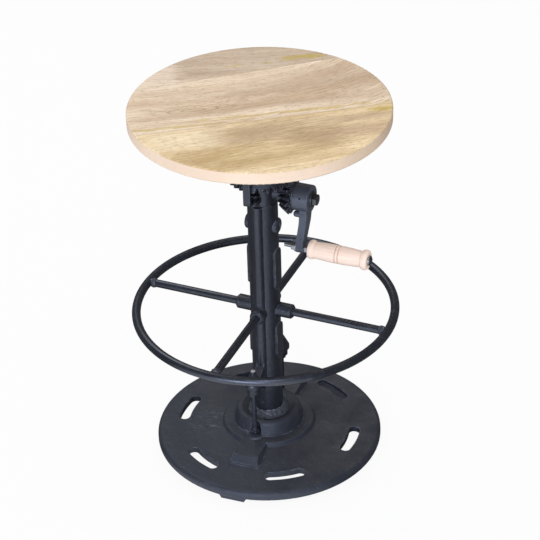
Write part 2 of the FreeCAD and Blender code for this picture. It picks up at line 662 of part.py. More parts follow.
rod_low = step_top - s.rod_depth
rod = cylinder("rod", s.rod_radius, rod_top - rod_low, (0, s.rod_offset, rod_low))
node("stay_rods", group("rods", around("rod_copy", rod, (0, 180))))
hub_nut = hexagon("hub_nut", s.rod_nut, s.rod_nut_height,
                  (0, s.rod_offset, nut_seat + s.rod_washer_height))
lock_nut = hexagon("lock_nut", s.rod_nut, s.rod_nut_height,
                   (0, s.rod_offset, lug_low - s.rod_nut_height))
rod_nuts = on_rods("hub_nut_copy", hub_nut) + on_rods("lock_nut_copy", lock_nut)
node("stay_nuts", group("rod_nuts", rod_nuts))
washer = cylinder("washer", s.rod_washer, s.rod_washer_height, (0, s.rod_offset, nut_seat))
node("stay_washers", group("rod_washers", on_rods("washer_copy", washer)))

# Foot ring: a bent bar on four spokes that are set in sockets on the column
ring_height = cup_floor + s.ring_rise
bar = tie(doc.addObject("Part::Torus", "bar"), Radius1=s.ring_radius, Radius2=s.ring_bar)
node("foot_ring", place(bar, (0, 0, ring_height)))
spoke_start = rib_crest + s.fit_gap
spoke = cylinder("spoke", s.spoke_radius, s.ring_radius - spoke_start,
                 (spoke_start, 0, ring_height), "x")
node("foot_spokes", group("spokes", around("spoke_copy", cut("spoke_end", spoke, bar), QUARTERS)))
socket_radius = s.spoke_radius + s.socket_wall


def sockets(name, length, azimuths):
    """Bored bosses for the spokes, chamfered at the mouth."""
    mouth = rib_crest + length
    shape = turned(name, (
        (s.spoke_radius + s.fit_gap, bore_radius + s.fit_gap),
        (socket_radius, bore_radius + s.fit_gap),
        (socket_radius, mouth - s.socket_chamfer),
        (socket_radius - s.socket_chamfer, mouth),
        (s.spoke_radius + s.fit_gap, mouth),
    ), (0, 0, ring_height), "x")
    return around(f"{name}_copy", shape, azimuths)


socket_blanks = group("socket_blanks", sockets("side_socket", s.socket_length, (0, 180))
                      + sockets("end_socket", s.socket_short, (90, 270)))
node("spoke_sockets", cut("sockets", socket_blanks, column_solid))
bar_inside = s.ring_radius - s.ring_bar
bead = turned("bead", (
    (s.spoke_radius + s.fit_gap, bar_inside - s.bead_length),
    (s.spoke_radius + s.bead_height, bar_inside - s.bead_length + s.bead_height),
    (s.spoke_radius + s.bead_height, bar_inside),
    (s.spoke_radius + s.fit_gap, bar_inside + s.bead_lap),
), (0, 0, ring_height), "x")
node("spoke_welds", group("beads", around("bead_copy", cut("bead_end", bead, bar), QUARTERS)))

# Key screws: their tips run in the spindle's keyways, so the spindle rises without turning
keyway_floor = s.spindle_radius - s.keyway_depth
key_screw = turned("key_screw", (
    (0, keyway_floor + s.key_end_gap),
    (s.key_tip, keyway_floor + s.key_end_gap),
    (s.key_tip, bore_radius),
    (s.key_shank, bore_radius),
    (s.key_shank, key_seat),
    (s.key_head, key_seat),
    (s.key_head, key_seat + s.key_head_height / 2),
    (s.key_head - s.key_head_height / 2, key_seat + s.key_head_height),
    (s.key_head / 2, key_seat + s.key_head_height),
    (s.key_head / 2, key_seat + s.key_head_height / 2),
    (0, key_seat + s.key_head_height / 2),
), (0, 0, key_height), "x")
node("key_screws", group("key_pair", around("key_screw_copy", key_screw, (0, 180))))

# Head casting: a neck on the column with a boss for the crank stud and two ears for the stirrup
bush_radius = s.spindle_radius + s.bush_wall
neck_radius = bush_radius + s.neck_wall
stud_height = tube_top + s.stud_rise
shoulder = s.stud_radius + s.stud_shoulder
boss_radius = shoulder + s.stud_boss
neck_top = stud_height + boss_radius
stud_seat = neck_radius + s.stud_boss_height
stud_low = bush_radius + s.stud_floor
ear_top = tube_top + s.ear_rise
ear_low = ear_top - s.ear_thickness
ear_bolt_offset = bush_radius + s.ear_bolt_room
inside_wall = (bush_radius + neck_radius) / 2
neck = turned("neck", (
    (s.spindle_radius + s.clear_gap, tube_top - s.neck_spigot),
    (bore_radius - s.fit_gap, tube_top - s.neck_spigot),
    (bore_radius - s.fit_gap, tube_top),
    (neck_radius, tube_top),
    (neck_radius, neck_top),
    (bush_radius + s.fit_gap, neck_top),
    (bush_radius + s.fit_gap, tube_top + s.bush_floor),
    (s.spindle_radius + s.clear_gap, tube_top + s.bush_floor),
))
stud_boss = cylinder("stud_boss_form", boss_radius, stud_seat - inside_wall,
                     (inside_wall, 0, stud_height), "x")
ear = fuse("ear", [
    box("ear_bar", (s.ear_radius * 2, ear_bolt_offset - inside_wall, s.ear_thickness),
        (-s.ear_radius, inside_wall, ear_low)),
    cylinder("ear_end", s.ear_radius, s.ear_thickness, (0, ear_bolt_offset, ear_low)),
])
ear_hole = cylinder("ear_hole", s.ear_bolt + s.fit_gap, s.ear_thickness * 3,
                    (0, ear_bolt_offset, ear_low - s.ear_thickness))
ear_holes = around("ear_hole_copy", ear_hole, (0, 180))
head_solid = fuse("head_solid", [neck, stud_boss, *around("ear_copy", ear, (0, 180))])
node("head_casting", cut("head_cut", head_solid, *ear_holes,
    cylinder("stud_hole", s.stud_end + s.fit_gap, stud_seat, (stud_low, 0, stud_height), "x")))
node("spindle_bush", ring("spindle_bush", s.spindle_radius + s.slide_gap, bush_radius,
                          tube_top + s.bush_floor, neck_top))


# Bevel gears: straight teeth whose every edge runs to the point where the two axes meet
class Bevel:
    """Sizes of one gear of the pair, measured from the cone's apex along its own axis."""

    def __init__(self, teeth, mate_teeth):
        side = square_root(teeth * teeth + mate_teeth * mate_teeth)
        self.teeth = int(teeth.value)
        self.sine = teeth / side
        self.cosine = mate_teeth / side
        self.pitch = s.tooth_module * teeth / 2
        self.back = self.pitch / self.cosine
        self.back_apex = self.back / self.sine
        self.tip = self.back + s.tooth_module
        self.root = self.back - s.tooth_module * s.root_modules
        self.small = as_size(1) - s.tooth_module * s.face_modules * self.sine / self.pitch

    def on_back_cone(self, reach):
        """Radius and distance from the apex of a point on the back cone."""
        return reach * self.cosine, self.back_apex - reach * self.sine

    def on_front_cone(self, reach):
        return [size * self.small for size in self.on_back_cone(reach)]

    def half_angle(self, reach):
        """Half a tooth's angle about the gear's axis, from an involute on the back cone."""
        pressure = math.radians(s.pressure_angle.value)
        here = math.acos(min(1.0, self.back.value * math.cos(pressure) / reach))
        thick = math.pi * s.tooth_module.value / 2 - s.backlash.value
        spread = math.tan(pressure) - pressure - math.tan(here) + here
        return (thick / 2 / self.back.value + spread) / self.cosine.value

    def outline(self, distance, first_tooth):
        """The toothed outline in the plane at a distance from the apex."""
        steps = 5
        depth = self.tip.value - self.root.value
        flank = [self.root.value + depth * step / (steps - 1) for step in range(steps)]
        corners = []
        for tooth in range(self.teeth):
            middle = first_tooth + 2 * math.pi * tooth / self.teeth
            for side, reaches in ((-1, flank), (1, flank[::-1])):
                for reach in reaches:
                    angle = middle + side * self.half_angle(reach)
                    from_apex = self.back_apex.value - reach * self.sine.value
                    radius = reach * self.cosine.value * distance / from_apex
                    corners.append(Vector(radius * math.cos(angle), radius * math.sin(angle), distance))
        return corners

    def toothed_cone(self, near, far, first_tooth):
        """A solid with flat flanks between two toothed outlines."""
        low = self.outline(near, first_tooth)
        high = self.outline(far, first_tooth)
        faces = [Part.Face(Part.makePolygon(ends + ends[:1])) for ends in (low, high)]
        for index in range(len(low)):
            follow = (index + 1) % len(low)
            flank = [low[index], low[follow], high[follow], high[index], low[index]]
            faces.append(Part.Face(Part.makePolygon(flank)))
        solid = Part.makeSolid(Part.makeShell(faces))
        return solid if solid.Volume > 0 else solid.reversed()


def bevel_gear(name, gear, bore, rear, rear_radius, first_tooth, at, toward="z"):
    """Teeth cut on a turned blank: front and back cones, with flat faces towards the hub."""
    spare = s.tooth_module / 2
    front = gear.on_front_cone(gear.root)
    blank = turned(f"{name}_blank", (
        (bore, front[1]),
        front,
        gear.on_front_cone(gear.tip + spare),
        gear.on_back_cone(gear.tip + spare),
        gear.on_back_cone(gear.root),
        (rear_radius, gear.on_back_cone(gear.root)[1] + s.pinion_flange / 2),
        (rear_radius, rear),
        (bore, rear),
    ), at, toward)
    teeth = doc.addObject("Part::Feature", f"{name}_teeth")
    near = front[1].value - 2 * s.tooth_module.value
    teeth.Shape = gear.toothed_cone(near, rear.value + spare.value, first_tooth)
    return common(f"{name}_cut", place(teeth, at, toward), blank)


pinion = Bevel(s.pinion_teeth, s.gear_teeth)
crown = Bevel(s.gear_teeth, s.pinion_teeth)
crown_tip = crown.on_back_cone(crown.tip)[0]
crown_root, crown_root_rise = crown.on_back_cone(crown.root)
gear_back = stud_height + crown_root_rise + s.gear_web
nut_radius = s.spindle_radius + s.nut_wall
gear_hub = nut_radius + s.gear_hub_wall
hub_low = neck_top + s.washer_thickness + s.end_gap
hub_high = gear_back + s.gear_hub_rise
gap_at_pinion = math.pi / crown.teeth
crown_wheel = bevel_gear("crown", crown, nut_radius + s.fit_gap, gear_back - stud_height, crown_root,
                         gap_at_pinion, (0, 0, stud_height))
crown_hub = ring("crown_hub", nut_radius + s.fit_gap, gear_hub, hub_low, hub_high)
node("crown_gear", fuse("crown_solid", [crown_wheel, crown_hub]))
node("lift_nut", ring("lift_nut", s.spindle_radius + s.slide_gap, nut_radius, hub_low, hub_high))

bridge_low = hub_high + s.end_gap + s.washer_thickness
bridge_top = bridge_low + s.bridge_thickness
node("thrust_washer_low", ring("thrust_washer_low", s.spindle_radius + s.clear_gap,
                               gear_hub - s.washer_inset, neck_top, neck_top + s.washer_thickness))
node("thrust_washer_high", ring("thrust_washer_high", s.spindle_radius + s.clear_gap,
                                gear_hub - s.washer_inset, hub_high + s.end_gap, bridge_low))

# Gear stirrup: a strap that goes round the crown gear in front and behind, with a bridge on top
# that keeps the gear down
strap_inside = crown_tip + s.stirrup_room
strap_reach = strap_inside + s.stirrup_thickness
strap_outer = padded("strap_outer", "YZ_Plane", (
    (-strap_reach, ear_top),
    (strap_reach, ear_top),
    (strap_reach, bridge_top),
    (-strap_reach, bridge_top),
), s.stirrup_width)
rounded(strap_outer, s.stirrup_round, lambda edge: math.isclose(edge.Length, s.stirrup_width.value))
strap_window = box("strap_window",
    (s.stirrup_width * 2, strap_inside * 2, bridge_low - ear_top - s.stirrup_thickness),
    (-s.stirrup_width, -strap_inside, ear_top + s.stirrup_thickness))
gap_half = neck_radius + s.stirrup_room
strap_gap = box("strap_gap", (s.stirrup_width * 2, gap_half * 2, s.stirrup_thickness * 3),
                (-s.stirrup_width, -gap_half, ear_top - s.stirrup_thickness))
bridge_disc = cylinder("bridge_disc", gear_hub + s.bridge_lip, s.bridge_thickness, (0, 0, bridge_low))
strap = fuse("strap", [cut("strap_frame", strap_outer, strap_window, strap_gap), bridge_disc])
bridge_bore = cylinder("bridge_bore", s.spindle_radius + s.clear_gap, s.bridge_thickness * 3,
                       (0, 0, bridge_low - s.bridge_thickness))
node("gear_stirrup", cut("strap_cut", strap, bridge_bore, *ear_holes))
ear_bolt = fuse("ear_bolt_form", [
    cylinder("ear_bolt_shank", s.ear_bolt, s.ear_thickness + s.stirrup_thickness,
             (0, ear_bolt_offset, ear_low)),
    hexagon("ear_bolt_hex", s.ear_bolt_head, s.ear_bolt_head_height,
            (0, ear_bolt_offset, ear_top + s.stirrup_thickness)),
])
node("stirrup_bolts", group("ear_bolts", around("ear_bolt_copy", ear_bolt, (0, 180))))

# Crank stud, bolt and washer: the stud is fixed in the head casting and the crank turns on it
STUD = (0, 0, stud_height)
pinion_root, pinion_root_reach = pinion.on_back_cone(pinion.root)
hub_start = pinion_root_reach + s.pinion_flange
hub_end = hub_start + s.crank_hub_length
stud_tip = hub_end + s.end_gap
washer_out = stud_tip + s.crank_washer_height
bolt_hole_end = stud_tip - s.crank_bolt_depth - s.drill_past
node("crank_stud", turned("crank_stud", (
    (0, stud_low),
    (s.stud_end, stud_low),
    (s.stud_end, stud_seat),
    (shoulder, stud_seat),
    (shoulder, stud_seat + s.stud_shoulder),
    (s.stud_radius, stud_seat + s.stud_shoulder),
    (s.stud_radius, stud_tip),
    (s.crank_bolt + s.fit_gap, stud_tip),
    (s.crank_bolt + s.fit_gap, bolt_hole_end),
    (0, bolt_hole_end),
), STUD, "x"))
node("crank_washer", ring("crank_washer_form", s.crank_bolt + s.fit_gap, s.crank_washer,
                          stud_tip, washer_out, STUD, "x"))
node("crank_bolt", fuse("crank_bolt_form", [
    cylinder("crank_bolt_shank", s.crank_bolt, s.crank_bolt_depth + s.crank_washer_height,
             (stud_tip - s.crank_bolt_depth, 0, stud_height), "x"),
    hexagon("crank_bolt_hex", s.crank_bolt_head, s.crank_bolt_head_height,
            (washer_out, 0, stud_height), "x"),
]))

# Bevel pinion: pinned to the crank's hub, on a bronze bush that they share
bush_outside = s.stud_radius + s.crank_bush
nose_start = stud_seat + s.stud_shoulder + s.end_gap * 2
nose_radius = pinion.on_front_cone(pinion.root)[0] - s.pinion_nose
pin_start = hub_start - s.drive_pin_half
pin_circle = (bush_outside + pinion_root * pin_start / pinion_root_reach) / 2
pinion_wheel = bevel_gear("pinion", pinion, bush_outside + s.fit_gap, hub_start,
                          s.crank_hub - s.pinion_step, math.pi, STUD, "x")
pinion_nose = ring("pinion_nose_form", bush_outside + s.fit_gap, nose_radius,
                   nose_start, pin_start, STUD, "x")


def pins(name, radius):
    """The two drive pins, or the holes for them, in front of and behind the stud."""
    length = s.drive_pin_half * 2
    return [cylinder(f"{name}_{side}", radius, length, (pin_start, offset, stud_height), "x")
            for side, offset in (("back", pin_circle), ("front", -pin_circle))]


pin_holes = pins("pin_hole", s.drive_pin + s.fit_gap)
node("bevel_pinion", cut("pinion_bored", fuse("pinion_solid", [pinion_wheel, pinion_nose]), *pin_holes))
node("drive_pins", group("drive_pin_pair", pins("drive_pin_form", s.drive_pin)))
node("crank_bush", ring("crank_bush_form", s.stud_radius + s.shaft_gap, bush_outside,
                        nose_start, hub_end, STUD, "x"))

# Crank arm: a bored hub with a tapered bar that bends in towards the column
handle_height = stud_height - s.crank_throw
arm_top = hub_end - s.arm_inset
arm_foot = arm_top - s.arm_lean
bar_half = s.arm_thickness / 2
arm_line = (
    (arm_top, stud_height),
    (arm_top - s.arm_knee_lean, stud_height - s.arm_knee_drop),
    (arm_foot, stud_height - s.arm_ankle_drop),
    (arm_foot, handle_height - s.arm_foot_width),
)
arm_outline = [(middle - bar_half, up) for middle, up in arm_line]
arm_outline += [(middle + bar_half, up) for middle, up in arm_line[::-1]]
arm_side = padded("arm_side", "XZ_Plane", arm_outline, s.arm_top_width * 2)
arm_front = padded("arm_front", "YZ_Plane", (
    (-s.arm_foot_width / 2, handle_height),
    (s.arm_foot_width / 2, handle_height),
    (s.arm_top_width / 2, stud_height),
    (-s.arm_top_width / 2, stud_height),
), hub_end * 3)
arm_end = cylinder("arm_end", s.arm_foot_width / 2, hub_end, (0, 0, handle_height), "x")
arm_bar = common("arm_bar", arm_side, fuse("arm_taper", [arm_front, arm_end]))
face_in = arm_foot - bar_half - s.arm_face
face_out = arm_foot + bar_half + s.arm_face
arm_boss = cylinder("arm_boss", s.arm_foot_width / 2, face_out - face_in,
                    (face_in, 0, handle_height), "x")
arm_hub = ring("arm_hub", as_size(0), s.crank_hub, hub_start, hub_end)
rounded(arm_hub, s.crank_hub_round, rims((s.crank_hub, hub_start), (s.crank_hub, hub_end)))
place(arm_hub, STUD, "x")
oil_hole = cylinder("oil_hole_form", s.oil_hole, s.crank_hub * 2,
                    ((hub_start + hub_end) / 2, 0, stud_height))
oil_hole.Placement.Rotation = Rotation(Vector(1, 0, 0), s.oil_turn.value)
dimple = cylinder("dimple_form", s.dimple, s.arm_foot_width / 2,
                  (arm_foot + s.dimple, -s.arm_foot_width / 4, stud_height - s.dimple_drop))
dimple.Placement.Rotation = Rotation(Vector(1, 0, 0), 90)
peg_end = arm_top - s.arm_knee_lean * s.peg_drop / s.arm_knee_drop
peg_start = peg_end - s.peg_length
node("crank_arm", cut("arm_bored", fuse("arm_solid", [arm_hub, arm_bar, arm_boss]),
    cylinder("arm_bore", bush_outside + s.fit_gap, hub_end, (hub_start / 2, 0, stud_height), "x"),
    cylinder("arm_handle_hole", s.handle_bolt + s.fit_gap, hub_end,
             (hub_start / 2, 0, handle_height), "x"),
    cylinder("arm_peg_hole", s.peg_radius + s.fit_gap, s.peg_length,
             (peg_start, -s.peg_side, stud_height - s.peg_drop), "x"),
    oil_hole, dimple, *pin_holes))
peg = ring("peg", as_size(0), s.peg_radius, peg_start, peg_end)
rounded(peg, s.peg_round, rims((s.peg_radius, peg_start)))
node("crank_peg", place(peg, (0, -s.peg_side, stud_height - s.peg_drop), "x"))

# Handle: a long bolt through the arm, a nut each side of it, and a wooden grip that spins
GRIP = (0, 0, handle_height)
washer_in = face_in - s.handle_washer_height
grip_start = face_out + s.handle_nut_height + s.end_gap * 2
grip_end = grip_start + s.grip_length
cap_start = grip_end + s.end_gap * 2
head_start = cap_start + s.handle_washer_height
bolt_tip = face_in - s.handle_bolt_tail
node("handle_bolt", turned("handle_bolt_form", (
    (0, bolt_tip),
    (s.handle_bolt - s.bolt_chamfer, bolt_tip),
    (s.handle_bolt, bolt_tip + s.bolt_chamfer),
    (s.handle_bolt, head_start),
    (s.handle_head, head_start),
    (s.handle_head, head_start + s.handle_head_height / 2),
    (s.handle_head - s.handle_head_height / 2, head_start + s.handle_head_height),
    (0, head_start + s.handle_head_height),
), GRIP, "x"))
nut_bore = cylinder("nut_bore", s.handle_bolt + s.fit_gap, grip_end, GRIP, "x")
handle_nuts = []
for name, start in (("inner", washer_in - s.handle_nut_height), ("outer", face_out)):
    blank = hexagon(f"handle_nut_{name}", s.handle_nut, s.handle_nut_height,
                    (start, 0, handle_height), "x")
    handle_nuts.append(cut(f"handle_nut_{name}_cut", blank, nut_bore))
node("handle_nuts", group("handle_nut_pair", handle_nuts))
handle_washers = [
    ring(f"handle_washer_{name}", s.handle_bolt + s.fit_gap, s.handle_washer, start,
         start + s.handle_washer_height, GRIP, "x")
    for name, start in (("inner", washer_in), ("outer", cap_start))
]
node("handle_washers", group("handle_washer_pair", handle_washers))

near_bead = grip_start + s.grip_bead_length
far_bead = grip_end - s.grip_bead_length
groove = (near_bead + far_bead) / 2 - s.grip_groove_space / 2
grooves = []
for middle in (groove, groove + s.grip_groove_space):
    grooves += [
        (s.grip_belly, middle - s.grip_groove_half),
        (s.grip_belly - s.grip_groove, middle),
        (s.grip_belly, middle + s.grip_groove_half),
    ]
near_crest = (s.grip_near_bead, grip_start + s.grip_bead_length / 2)
far_crest = (s.grip_far_bead, grip_end - s.grip_bead_length / 2)
grip = turned("grip", (
    (s.handle_bolt + s.slide_gap, grip_start),
    (s.grip_near_bead - s.grip_bead_drop, grip_start),
    near_crest,
    (s.grip_shoulder, near_bead),
    *grooves,
    (s.grip_neck, far_bead),
    far_crest,
    (s.grip_far_bead - s.grip_bead_drop, grip_end),
    (s.handle_bolt + s.slide_gap, grip_end),
))
rounded(grip, s.grip_bead_round, rims(near_crest, far_crest))
node("hand_grip", place(grip, GRIP, "x"))

# Lift spindle: the screw, its collar that stops on the bridge, its keyways and the seat's pivot
keyway_low = key_height - s.lift - s.keyway_margin
keyway_high = key_height + s.keyway_margin
keyway_width = (s.key_tip + s.key_side_gap) * 2
spindle_low = keyway_low - s.spindle_tail
collar_low = bridge_top + s.stop_gap
collar_high = collar_low + s.spindle_collar
stop_radius = s.spindle_radius + s.collar_step
journal = s.spindle_radius - s.journal_step
journal_top = collar_high + s.journal_length
pivot_hole_end = journal_top - s.pivot_bolt_length - s.drill_past
foot_hole_end = spindle_low + s.guide_screw_length + s.drill_past
spindle_blank = turned("spindle_blank", (
    (s.guide_screw + s.fit_gap, spindle_low),
    (s.spindle_radius, spindle_low),
    (s.spindle_radius, collar_low),
    (stop_radius, collar_low),
    (stop_radius, collar_high),
    (journal, collar_high),
    (journal, journal_top),
    (s.pivot_bolt + s.fit_gap, journal_top),
    (s.pivot_bolt + s.fit_gap, pivot_hole_end),
    (0, pivot_hole_end),
    (0, foot_hole_end),
    (s.guide_screw + s.fit_gap, foot_hole_end),
))
keyway = fuse("keyway", [
    box("keyway_slot", (s.spindle_radius, keyway_width, keyway_high - keyway_low),
        (keyway_floor, -keyway_width / 2, keyway_low)),
    cylinder("keyway_low_end", keyway_width / 2, s.spindle_radius, (keyway_floor, 0, keyway_low), "x"),
    cylinder("keyway_high_end", keyway_width / 2, s.spindle_radius, (keyway_floor, 0, keyway_high), "x"),
])
node("lift_spindle", cut("spindle_cut", spindle_blank, *around("keyway_copy", keyway, (0, 180))))
guide_low = spindle_low - s.guide_height
guide_radius = bore_radius - s.slide_gap
node("spindle_foot", turned("spindle_foot_disc", (
    (s.guide_screw + s.fit_gap, guide_low),
    (guide_radius - s.guide_chamfer, guide_low),
    (guide_radius, guide_low + s.guide_chamfer),
    (guide_radius, spindle_low),
    (s.guide_screw + s.fit_gap, spindle_low),
)))
node("spindle_foot_screw", turned("foot_screw", (
    (0, guide_low - s.guide_screw),
    (s.guide_screw_head, guide_low - s.guide_screw),
    (s.guide_screw_head, guide_low),
    (s.guide_screw, guide_low),
    (s.guide_screw, spindle_low + s.guide_screw_length),
    (0, spindle_low + s.guide_screw_length),
)))

# Seat pivot: the flange turns on the journal and a bolt with a wide washer holds it down
swivel_radius = journal + s.swivel_bush
pivot_washer = swivel_radius + s.pivot_washer_step
bolt_seat = journal_top + s.pivot_washer_height
flange_low = collar_high + s.washer_thickness + s.end_gap
flange_floor = journal_top - s.pivot_play
node("swivel_washer", ring("swivel_washer", journal + s.slide_gap, stop_radius, collar_high,
                           collar_high + s.washer_thickness))
node("pivot_washer", ring("pivot_washer", s.pivot_bolt + s.fit_gap, pivot_washer,
                          journal_top, bolt_seat))
node("pivot_bolt", fuse("pivot_bolt_form", [
    cylinder("pivot_bolt_shank", s.pivot_bolt, s.pivot_bolt_length + s.pivot_washer_height,
             (0, 0, journal_top - s.pivot_bolt_length)),
    hexagon("pivot_bolt_hex", s.pivot_bolt_head, s.pivot_bolt_head_height, (0, 0, bolt_seat)),
]))
node("swivel_bush", ring("swivel_bush_form", journal + s.shaft_gap, swivel_radius,
                         flange_low, flange_floor))

# Seat: a wooden board screwed to a cast flange
seat_low = flange_floor + s.flange_pocket_depth
plate_low = seat_low - s.flange_plate
seat_top = seat_low + s.seat_thickness
pocket_radius = pivot_washer + s.flange_pocket_room
flange_blank = turned("flange_blank", (
    (swivel_radius + s.fit_gap, flange_low),
    (swivel_radius + s.flange_hub_wall, flange_low),
    (swivel_radius + s.flange_waist, (flange_low + flange_floor) / 2),
    (pocket_radius + s.flange_hub_wall, flange_floor),
    (pocket_radius + s.flange_flare, plate_low),
    (s.flange_radius, plate_low),
    (s.flange_radius, seat_low),
    (pocket_radius, seat_low),
    (pocket_radius, flange_floor),
    (swivel_radius + s.fit_gap, flange_floor),
))
screw_hole_depth = s.flange_plate + s.seat_screw_bite + s.drill_past
screw_hole = cylinder("screw_hole", s.seat_screw + s.fit_gap, screw_hole_depth,
                      (s.seat_screw_circle, 0, plate_low))
screw_holes = around("screw_hole_copy", screw_hole, SIXTHS)
node("seat_flange", cut("flange_cut", flange_blank, *screw_holes))
seat_screw = fuse("seat_screw_form", [
    cylinder("screw_shank", s.seat_screw, s.flange_plate + s.seat_screw_bite,
             (s.seat_screw_circle, 0, plate_low)),
    cone("screw_head", s.seat_screw, s.seat_screw_head, s.seat_screw_head_height,
         (s.seat_screw_circle, 0, plate_low - s.seat_screw_head_height)),
])
node("seat_screws", group("seat_screw_set", around("seat_screw_copy", seat_screw, SIXTHS)))
board = ring("board", as_size(0), s.seat_radius, seat_low, seat_top)
rounded(board, s.seat_round, rims((s.seat_radius, seat_low), (s.seat_radius, seat_top)))
node("seat_board", cut("board_cut", board, *screw_holes))

doc.recompute()
failed = [thing.Name for thing in doc.Objects if {"Invalid", "Error"} & set(thing.State)]
if failed:
    raise RuntimeError(f"objects that failed: {failed}")
for thing in nodes:
    if thing.Shape.isNull() or not thing.Shape.isValid() or not thing.Shape.Solids:
        raise RuntimeError(f"no valid solid in {thing.Label}")

os.makedirs("parts", exist_ok=True)
for thing in nodes:
    thing.Shape.exportStep(f"parts/{thing.Label}.step")
    print(f"{thing.Label}: {len(thing.Shape.Solids)} solids, {thing.Shape.Volume / 1000:.1f} cm3")
print(f"stud axis {stud_height.value:.2f}, handle axis {handle_height.value:.2f}")
print(f"seat top {seat_top.value:.2f}")
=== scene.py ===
import math
import bpy
import numpy as np
from mathutils import Matrix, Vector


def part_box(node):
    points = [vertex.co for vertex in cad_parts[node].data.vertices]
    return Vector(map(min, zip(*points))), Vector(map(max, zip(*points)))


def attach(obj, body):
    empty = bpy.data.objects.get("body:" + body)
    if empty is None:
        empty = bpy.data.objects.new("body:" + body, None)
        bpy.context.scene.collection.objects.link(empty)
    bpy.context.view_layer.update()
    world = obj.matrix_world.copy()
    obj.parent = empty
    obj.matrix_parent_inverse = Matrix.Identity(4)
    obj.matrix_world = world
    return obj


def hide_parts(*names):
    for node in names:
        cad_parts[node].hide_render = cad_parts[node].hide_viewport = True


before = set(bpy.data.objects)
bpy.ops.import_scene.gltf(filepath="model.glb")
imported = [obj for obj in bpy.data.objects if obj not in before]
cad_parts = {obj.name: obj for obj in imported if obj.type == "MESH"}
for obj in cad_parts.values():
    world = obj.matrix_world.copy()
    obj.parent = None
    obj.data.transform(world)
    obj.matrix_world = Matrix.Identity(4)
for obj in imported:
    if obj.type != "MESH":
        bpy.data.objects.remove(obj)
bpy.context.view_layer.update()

# Base casting: a slotted disc of grey iron with three feet, a stepped hub and two blocks beside it.
# It is poured in a sand mould, fettled and sprayed semi-gloss black.
MM = 0.001


def srgb(code):
    """A linear colour with alpha from an sRGB hex code."""
    parts = [int(code[at:at + 2], 16) / 255 for at in (1, 3, 5)]
    return [part / 12.92 if part <= 0.04045 else ((part + 0.055) / 1.055) ** 2.4 for part in parts] + [1.0]


def put(tree, kind, inputs=None, **settings):
    """Adds a node, gives it its settings, and fills or links the named or numbered inputs."""
    made = tree.nodes.new(f"ShaderNode{kind}")
    for name, value in settings.items():
        setattr(made, name, value)
    for socket, value in (inputs or {}).items():
        if isinstance(value, bpy.types.NodeSocket):
            tree.links.new(value, made.inputs[socket])
        else:
            made.inputs[socket].default_value = value
    return made


def blank_material(name):
    """A new material, its node tree, its principled shader, and the object coordinates."""
    material = bpy.data.materials.new(name)
    material.use_nodes = True
    tree = material.node_tree
    return material, tree, tree.nodes["Principled BSDF"], put(tree, "TexCoord").outputs["Object"]


def finish_nodes(material, *names):
    """Gives a material to CAD nodes."""
    for name in names:
        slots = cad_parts[name].data.materials
        slots.clear()
        slots.append(material)


def rubbed_edges(tree, true, lumps, wear):
    """Share of rubbed paint: where the normal averaged over 2.4 mm leans off the true one, on high lumps."""
    broad = put(tree, "Bevel", {"Radius": 2.4 * MM}, samples=6).outputs[0]
    facing = put(tree, "VectorMath", {0: broad, 1: true}, operation="DOT_PRODUCT").outputs["Value"]
    edge = put(tree, "MapRange", {"Value": facing, "From Min": 0.99, "From Max": 0.86}).outputs["Result"]
    rubbed = put(tree, "MapRange", {"Value": lumps, "From Min": 0.42, "From Max": 0.60, "To Max": wear})
    return put(tree, "Math", {0: edge, 1: rubbed.outputs["Result"]}, operation="MULTIPLY").outputs[0]


def settled_dust(tree, true, here, height, patchy, dust, dust_above_shade_below):
    """Share of dust on up-facing faces, in patches, thicker to the back right; none below a height, as
    painted shade.
    """
    back_right = (0.6, 0.8, 0)
    upward = put(tree, "SeparateXYZ", {"Vector": true}).outputs["Z"]
    lies = put(tree, "MapRange", {"Value": upward, "From Min": 0.75, "From Max": 0.98, "To Max": dust})
    # Below this height the paint keeps its dark tone: painted shade on the floor of the closed slot
    above = put(tree, "Math", {0: height, 1: dust_above_shade_below}, operation="GREATER_THAN").outputs[0]
    behind = put(tree, "VectorMath", {0: here, 1: back_right}, operation="DOT_PRODUCT").outputs["Value"]
    kept = put(tree, "MapRange", {"Value": behind, "From Min": -110 * MM, "From Max": 50 * MM,
                                  "To Min": 0.25}).outputs["Result"]
    share = lies.outputs["Result"]
    for part in (patchy, above, kept):
        share = put(tree, "Math", {0: share, 1: part}, operation="MULTIPLY").outputs[0]
    return share


def scraped_hairs(tree, here, patchy, scuffed):
    """Share of pale hairs: noise drawn out 15 mm long and 1.2 mm wide, in patches and round a scuff."""
    drawn = put(tree, "Mapping", {"Vector": here, "Rotation": (0, 0, math.radians(25)),
                                  "Scale": (1 / (15 * MM), 1 / (1.2 * MM), 1 / (4 * MM))}).outputs[0]
    strokes = put(tree, "TexNoise", {"Vector": drawn, "Scale": 1.0, "Detail": 4.0, "Roughness": 0.7,
                                     "Distortion": 0.15}).outputs["Fac"]
    spread = patchy
    if scuffed is not None:
        to_middle = [-part * MM for part in scuffed]
        middle = put(tree, "Mapping", {"Vector": here, "Location": to_middle}).outputs[0]
        far = put(tree, "VectorMath", {0: middle}, operation="LENGTH").outputs["Value"]
        near = put(tree, "MapRange", {"Value": far, "From Min": 42 * MM, "From Max": 12 * MM, "To Max": 2.6})
        spread = put(tree, "Math", {0: near.outputs["Result"], 1: spread}, operation="ADD").outputs[0]
    marks = put(tree, "MapRange", {"Value": strokes, "From Min": 0.56, "From Max": 0.72, "To Max": 0.30})
    return put(tree, "Math", {0: spread, 1: marks.outputs["Result"]}, operation="MULTIPLY",
               use_clamp=True).outputs[0]


